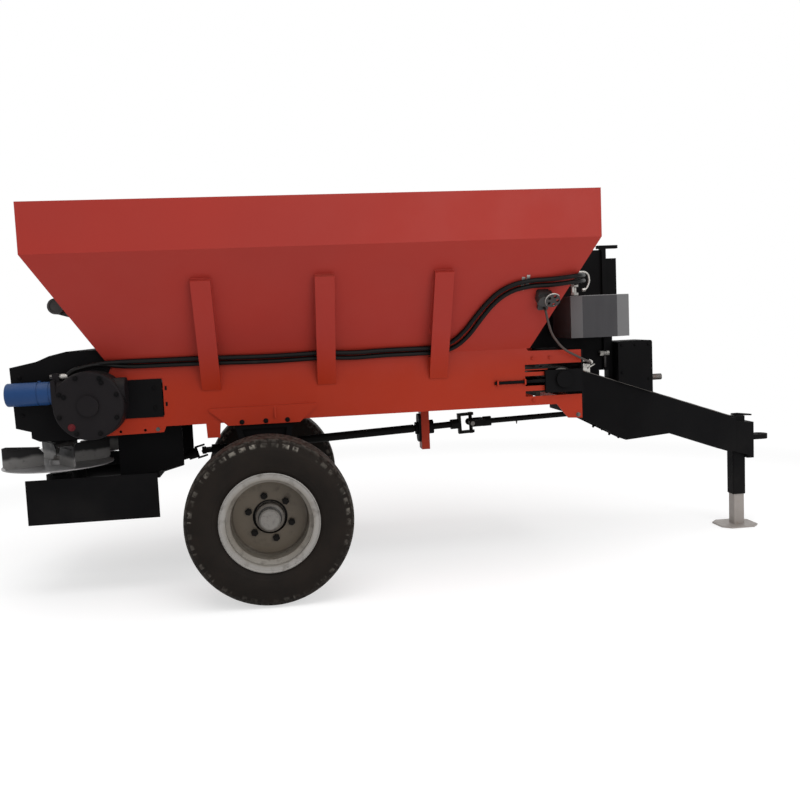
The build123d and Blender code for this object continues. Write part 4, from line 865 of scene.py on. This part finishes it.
# bearing caps on the front universal joint's ears, and a grease nipple on the forward shaft
joint = {
    "d": 1.115, "z": 0.690, "reach": 0.056, "cap": 0.0125, "capHeight": 0.0025, "capChamfer": 0.001,
    "slope": 0.0445, "sides": 24,
}
capProfile = [
    (0, 0), (0, joint["cap"]), (joint["capHeight"], joint["cap"] - joint["capChamfer"]), (joint["capHeight"], 0),
]
tilt = np.array([-joint["slope"], 0, 1.0]) / math.hypot(joint["slope"], 1)
centre = at(joint["d"], 0, joint["z"])
for name, outwards, body in (
    ("joint_caps_upright", tilt, "long_shaft"), ("joint_caps_level", np.array([0, 1, 0]), "forward_shaft"),
):
    caps = [
        turnedShape(capProfile, centre + hand * joint["reach"] * outwards, hand * outwards, joint["sides"])
        for hand in (-1, 1)
    ]
    joinedPiece(name, caps, "shaft_steel", body)
nipple = {
    "place": (1.378, 0, 0.6835), "sides": 12,
    "profile": [(0, 0), (0, 0.0045), (0.006, 0.0045), (0.008, 0.003), (0.013, 0.0035), (0.016, 0.002), (0.016, 0)],
}
nippleShape = turnedShape(nipple["profile"], at(*nipple["place"]), (0, 0, -1), nipple["sides"])
joinedPiece("shaft_grease_nipple", [nippleShape], "shaft_steel", "forward_shaft")

# centre nut and washer of each spinner disc
discCentre = {
    "d": -1.025, "y": 0.290, "z": 0.662, "washer": 0.030, "washerHeight": 0.003, "nut": (0.016, 0.022),
    "sides": 32,
}
q = discCentre
washerProfile = [(0, 0), (0, q["washer"]), (q["washerHeight"], q["washer"]), (q["washerHeight"], 0)]
for sideName, side in hands:
    place = at(q["d"], side * q["y"], q["z"])
    washer = turnedShape(washerProfile, place, (0, 0, 1), q["sides"])
    nut = nutShape(place + np.array([0, 0, q["washerHeight"]]), (0, 0, 1), *q["nut"])
    joinedPiece("disc_nut_" + sideName, [nut], "shaft_steel", "spinner_disc_" + sideName)
    joinedPiece("disc_washer_" + sideName, [washer], "shaft_steel", "spinner_disc_" + sideName)


def onSide(corners, faces, side):
    # a shape made for the left side (side 1), or its mirror image on the right (side -1), faces looking outward
    corners = corners * [1, side, 1]
    return corners, facingOut(corners, faces)


# two slots in each side plate behind the hood's edge, drawn as thin black sheets on the plate: painted shade in
# the holes
slot = {"rear": 0.472, "front": 0.462, "near": 0.4485, "far": 0.4496, "heights": (0.919, 0.996), "half": 0.010}
slots = []
for side in (-1, 1):
    for height in slot["heights"]:
        low = (axleX - slot["rear"], slot["near"], height - slot["half"])
        high = (axleX - slot["front"], slot["far"], height + slot["half"])
        slots.append(onSide(*boxShape(low, high), side))
joinedPiece("side_slots_painted_shade", slots, "black")

# upright stiffener on each axle bracket: a strip that stands out at the foot and runs into the plate at the top
stiffener = {
    "d": 0.047, "half": 0.004, "face": 0.4585, "reach": 0.016, "low": 0.826, "high": 0.883, "topReach": 0.002,
}
q = stiffener
strips = []
for side in (-1, 1):
    low = (axleX + q["d"] - q["half"], q["face"], q["low"])
    high = (axleX + q["d"] + q["half"], q["face"] + q["reach"], q["high"])
    corners, faces = boxShape(low, high)
    outer = corners[:, 1] > q["face"] + q["reach"] / 2
    upper = corners[:, 2] > 0.5 * (q["low"] + q["high"])
    corners[outer & upper, 1] = q["face"] + q["topReach"]
    strips.append(onSide(corners, faces, side))
joinedPiece("bracket_stiffeners", strips, "red")
print("stage: welds and drive line fittings made")


def floorFinish(name, tones):
    # the camera sees the shadow on near-white, fading to plain white far off; other rays meet a plain pale floor
    # far = smooth step over the root of x^2 + y^2
    s = Shader(name)
    tree = s.tree
    tree.nodes.remove(s.surface)
    squares = [s.math("POWER", s.axis(part), 2.0) for part in ("X", "Y")]
    far = s.ramp(s.math("SQRT", s.math("ADD", *squares), 0.0), *tones["fade"])
    plain, seen = tree.nodes.new("ShaderNodeBsdfDiffuse"), tree.nodes.new("ShaderNodeBsdfDiffuse")
    plain.inputs["Color"].default_value = (*tones["plain"], 1)
    s.link(s.mix(far, (tones["share"],) * 3, (0.0, 0.0, 0.0)), seen.inputs["Color"])
    glow = tree.nodes.new("ShaderNodeEmission")
    glow.inputs["Color"].default_value = (1, 1, 1, 1)
    s.link(s.ramp(far, 0.0, 1.0, tones["glow"], 1.0), glow.inputs["Strength"])
    both, mixed = tree.nodes.new("ShaderNodeAddShader"), tree.nodes.new("ShaderNodeMixShader")
    s.link(seen.outputs[0], both.inputs[0])
    s.link(glow.outputs[0], both.inputs[1])
    path = tree.nodes.new("ShaderNodeLightPath")
    direct = s.math("MAXIMUM", path.outputs["Is Camera Ray"], path.outputs["Is Glossy Ray"])
    direct = s.math("MAXIMUM", direct, path.outputs["Is Transmission Ray"])
    s.link(direct, mixed.inputs[0])
    s.link(plain.outputs[0], mixed.inputs[1])
    s.link(both.outputs[0], mixed.inputs[2])
    s.link(mixed.outputs[0], s.output.inputs[0])
    return s.material


floorTones = {"plain": (0.86, 0.86, 0.87), "share": 0.5, "glow": 0.57, "fade": (3.0, 6.0)}
backdrop = {"half": 30.0, "low": -0.002}
floorPoints = np.array([[-1, -1], [1, -1], [1, 1], [-1, 1]]) * backdrop["half"]
floorMesh = bpy.data.meshes.new("floor")
floorMesh.from_pydata([(x, y, backdrop["low"]) for x, y in floorPoints], [], [(0, 1, 2, 3)])
floor = bpy.data.objects.new("floor", floorMesh)
bpy.context.scene.collection.objects.link(floor)
floorMesh.materials.append(floorFinish("floor_white", floorTones))

skyTones = {"plain": 0.58, "white": 1.0}
world = bpy.data.worlds.new("studio")
bpy.context.scene.world = world
world.use_nodes = True
worldNodes = world.node_tree
worldNodes.nodes.clear()
pathNode = worldNodes.nodes.new("ShaderNodeLightPath")
mixSky = worldNodes.nodes.new("ShaderNodeMixShader")
worldOut = worldNodes.nodes.new("ShaderNodeOutputWorld")
# light comes from the plain sky; the camera and clear or shiny surfaces see the white one
seenSky = pathNode.outputs["Is Camera Ray"]
for rayKind in ("Is Glossy Ray", "Is Transmission Ray"):
    larger = worldNodes.nodes.new("ShaderNodeMath")
    larger.operation = "MAXIMUM"
    worldNodes.links.new(seenSky, larger.inputs[0])
    worldNodes.links.new(pathNode.outputs[rayKind], larger.inputs[1])
    seenSky = larger.outputs[0]
worldNodes.links.new(seenSky, mixSky.inputs[0])
for place, toneName in ((1, "plain"), (2, "white")):
    sky = worldNodes.nodes.new("ShaderNodeBackground")
    sky.inputs["Color"].default_value = (1, 1, 1, 1)
    sky.inputs["Strength"].default_value = skyTones[toneName]
    worldNodes.links.new(sky.outputs[0], mixSky.inputs[place])
worldNodes.links.new(mixSky.outputs[0], worldOut.inputs[0])

lampTable = {
    # name: (place, aim, width, power)
    "overhead": ((-0.5, -1.5, 6.5), (-0.2, 0, 0.8), 6.0, 310),
    "fill": ((2.5, -7.0, 3.0), (0, 0, 0.8), 4.0, 150),
}
for name, (place, aim, width, power) in lampTable.items():
    lamp = bpy.data.lights.new(name, "AREA")
    lamp.shape = "SQUARE"
    lamp.size = width
    lamp.energy = power
    lampObject = bpy.data.objects.new(name, lamp)
    bpy.context.scene.collection.objects.link(lampObject)
    towards, first, second = frameAlong(np.array(aim) - np.array(place))
    lampObject.matrix_world = Matrix(
        [[first[i], second[i], -towards[i], place[i]] for i in range(3)] + [[0, 0, 0, 1]]
    )

# the camera stands low on the right of the machine, slightly turned and tilted
cameraPose = {
    "place": (-0.6973, -4.7878, 1.2624), "turn": 7.467, "rise": -5.040, "lean": 2.482, "lens": 39.66, "sensor": 36,
    "reach": 100,
}
turn, riseAngle, lean = (math.radians(cameraPose[key]) for key in ("turn", "rise", "lean"))
ahead = np.array([math.sin(turn) * math.cos(riseAngle), math.cos(turn) * math.cos(riseAngle), math.sin(riseAngle)])
level = np.array([math.cos(turn), -math.sin(turn), 0.0])
above = np.cross(level, ahead)
rightHand = level * math.cos(lean) - above * math.sin(lean)
topHand = level * math.sin(lean) + above * math.cos(lean)
cameraData = bpy.data.cameras.new("camera")
cameraData.sensor_width = cameraPose["sensor"]
cameraData.lens = cameraPose["lens"]
cameraData.clip_end = cameraPose["reach"]
camera = bpy.data.objects.new("camera", cameraData)
bpy.context.scene.collection.objects.link(camera)
camera.matrix_world = Matrix(
    [[rightHand[i], topHand[i], -ahead[i], cameraPose["place"][i]] for i in range(3)] + [[0, 0, 0, 1]]
)
bpy.context.scene.camera = camera
bpy.context.scene.view_settings.view_transform = "Standard"
print("stage: floor, lamps and camera placed")
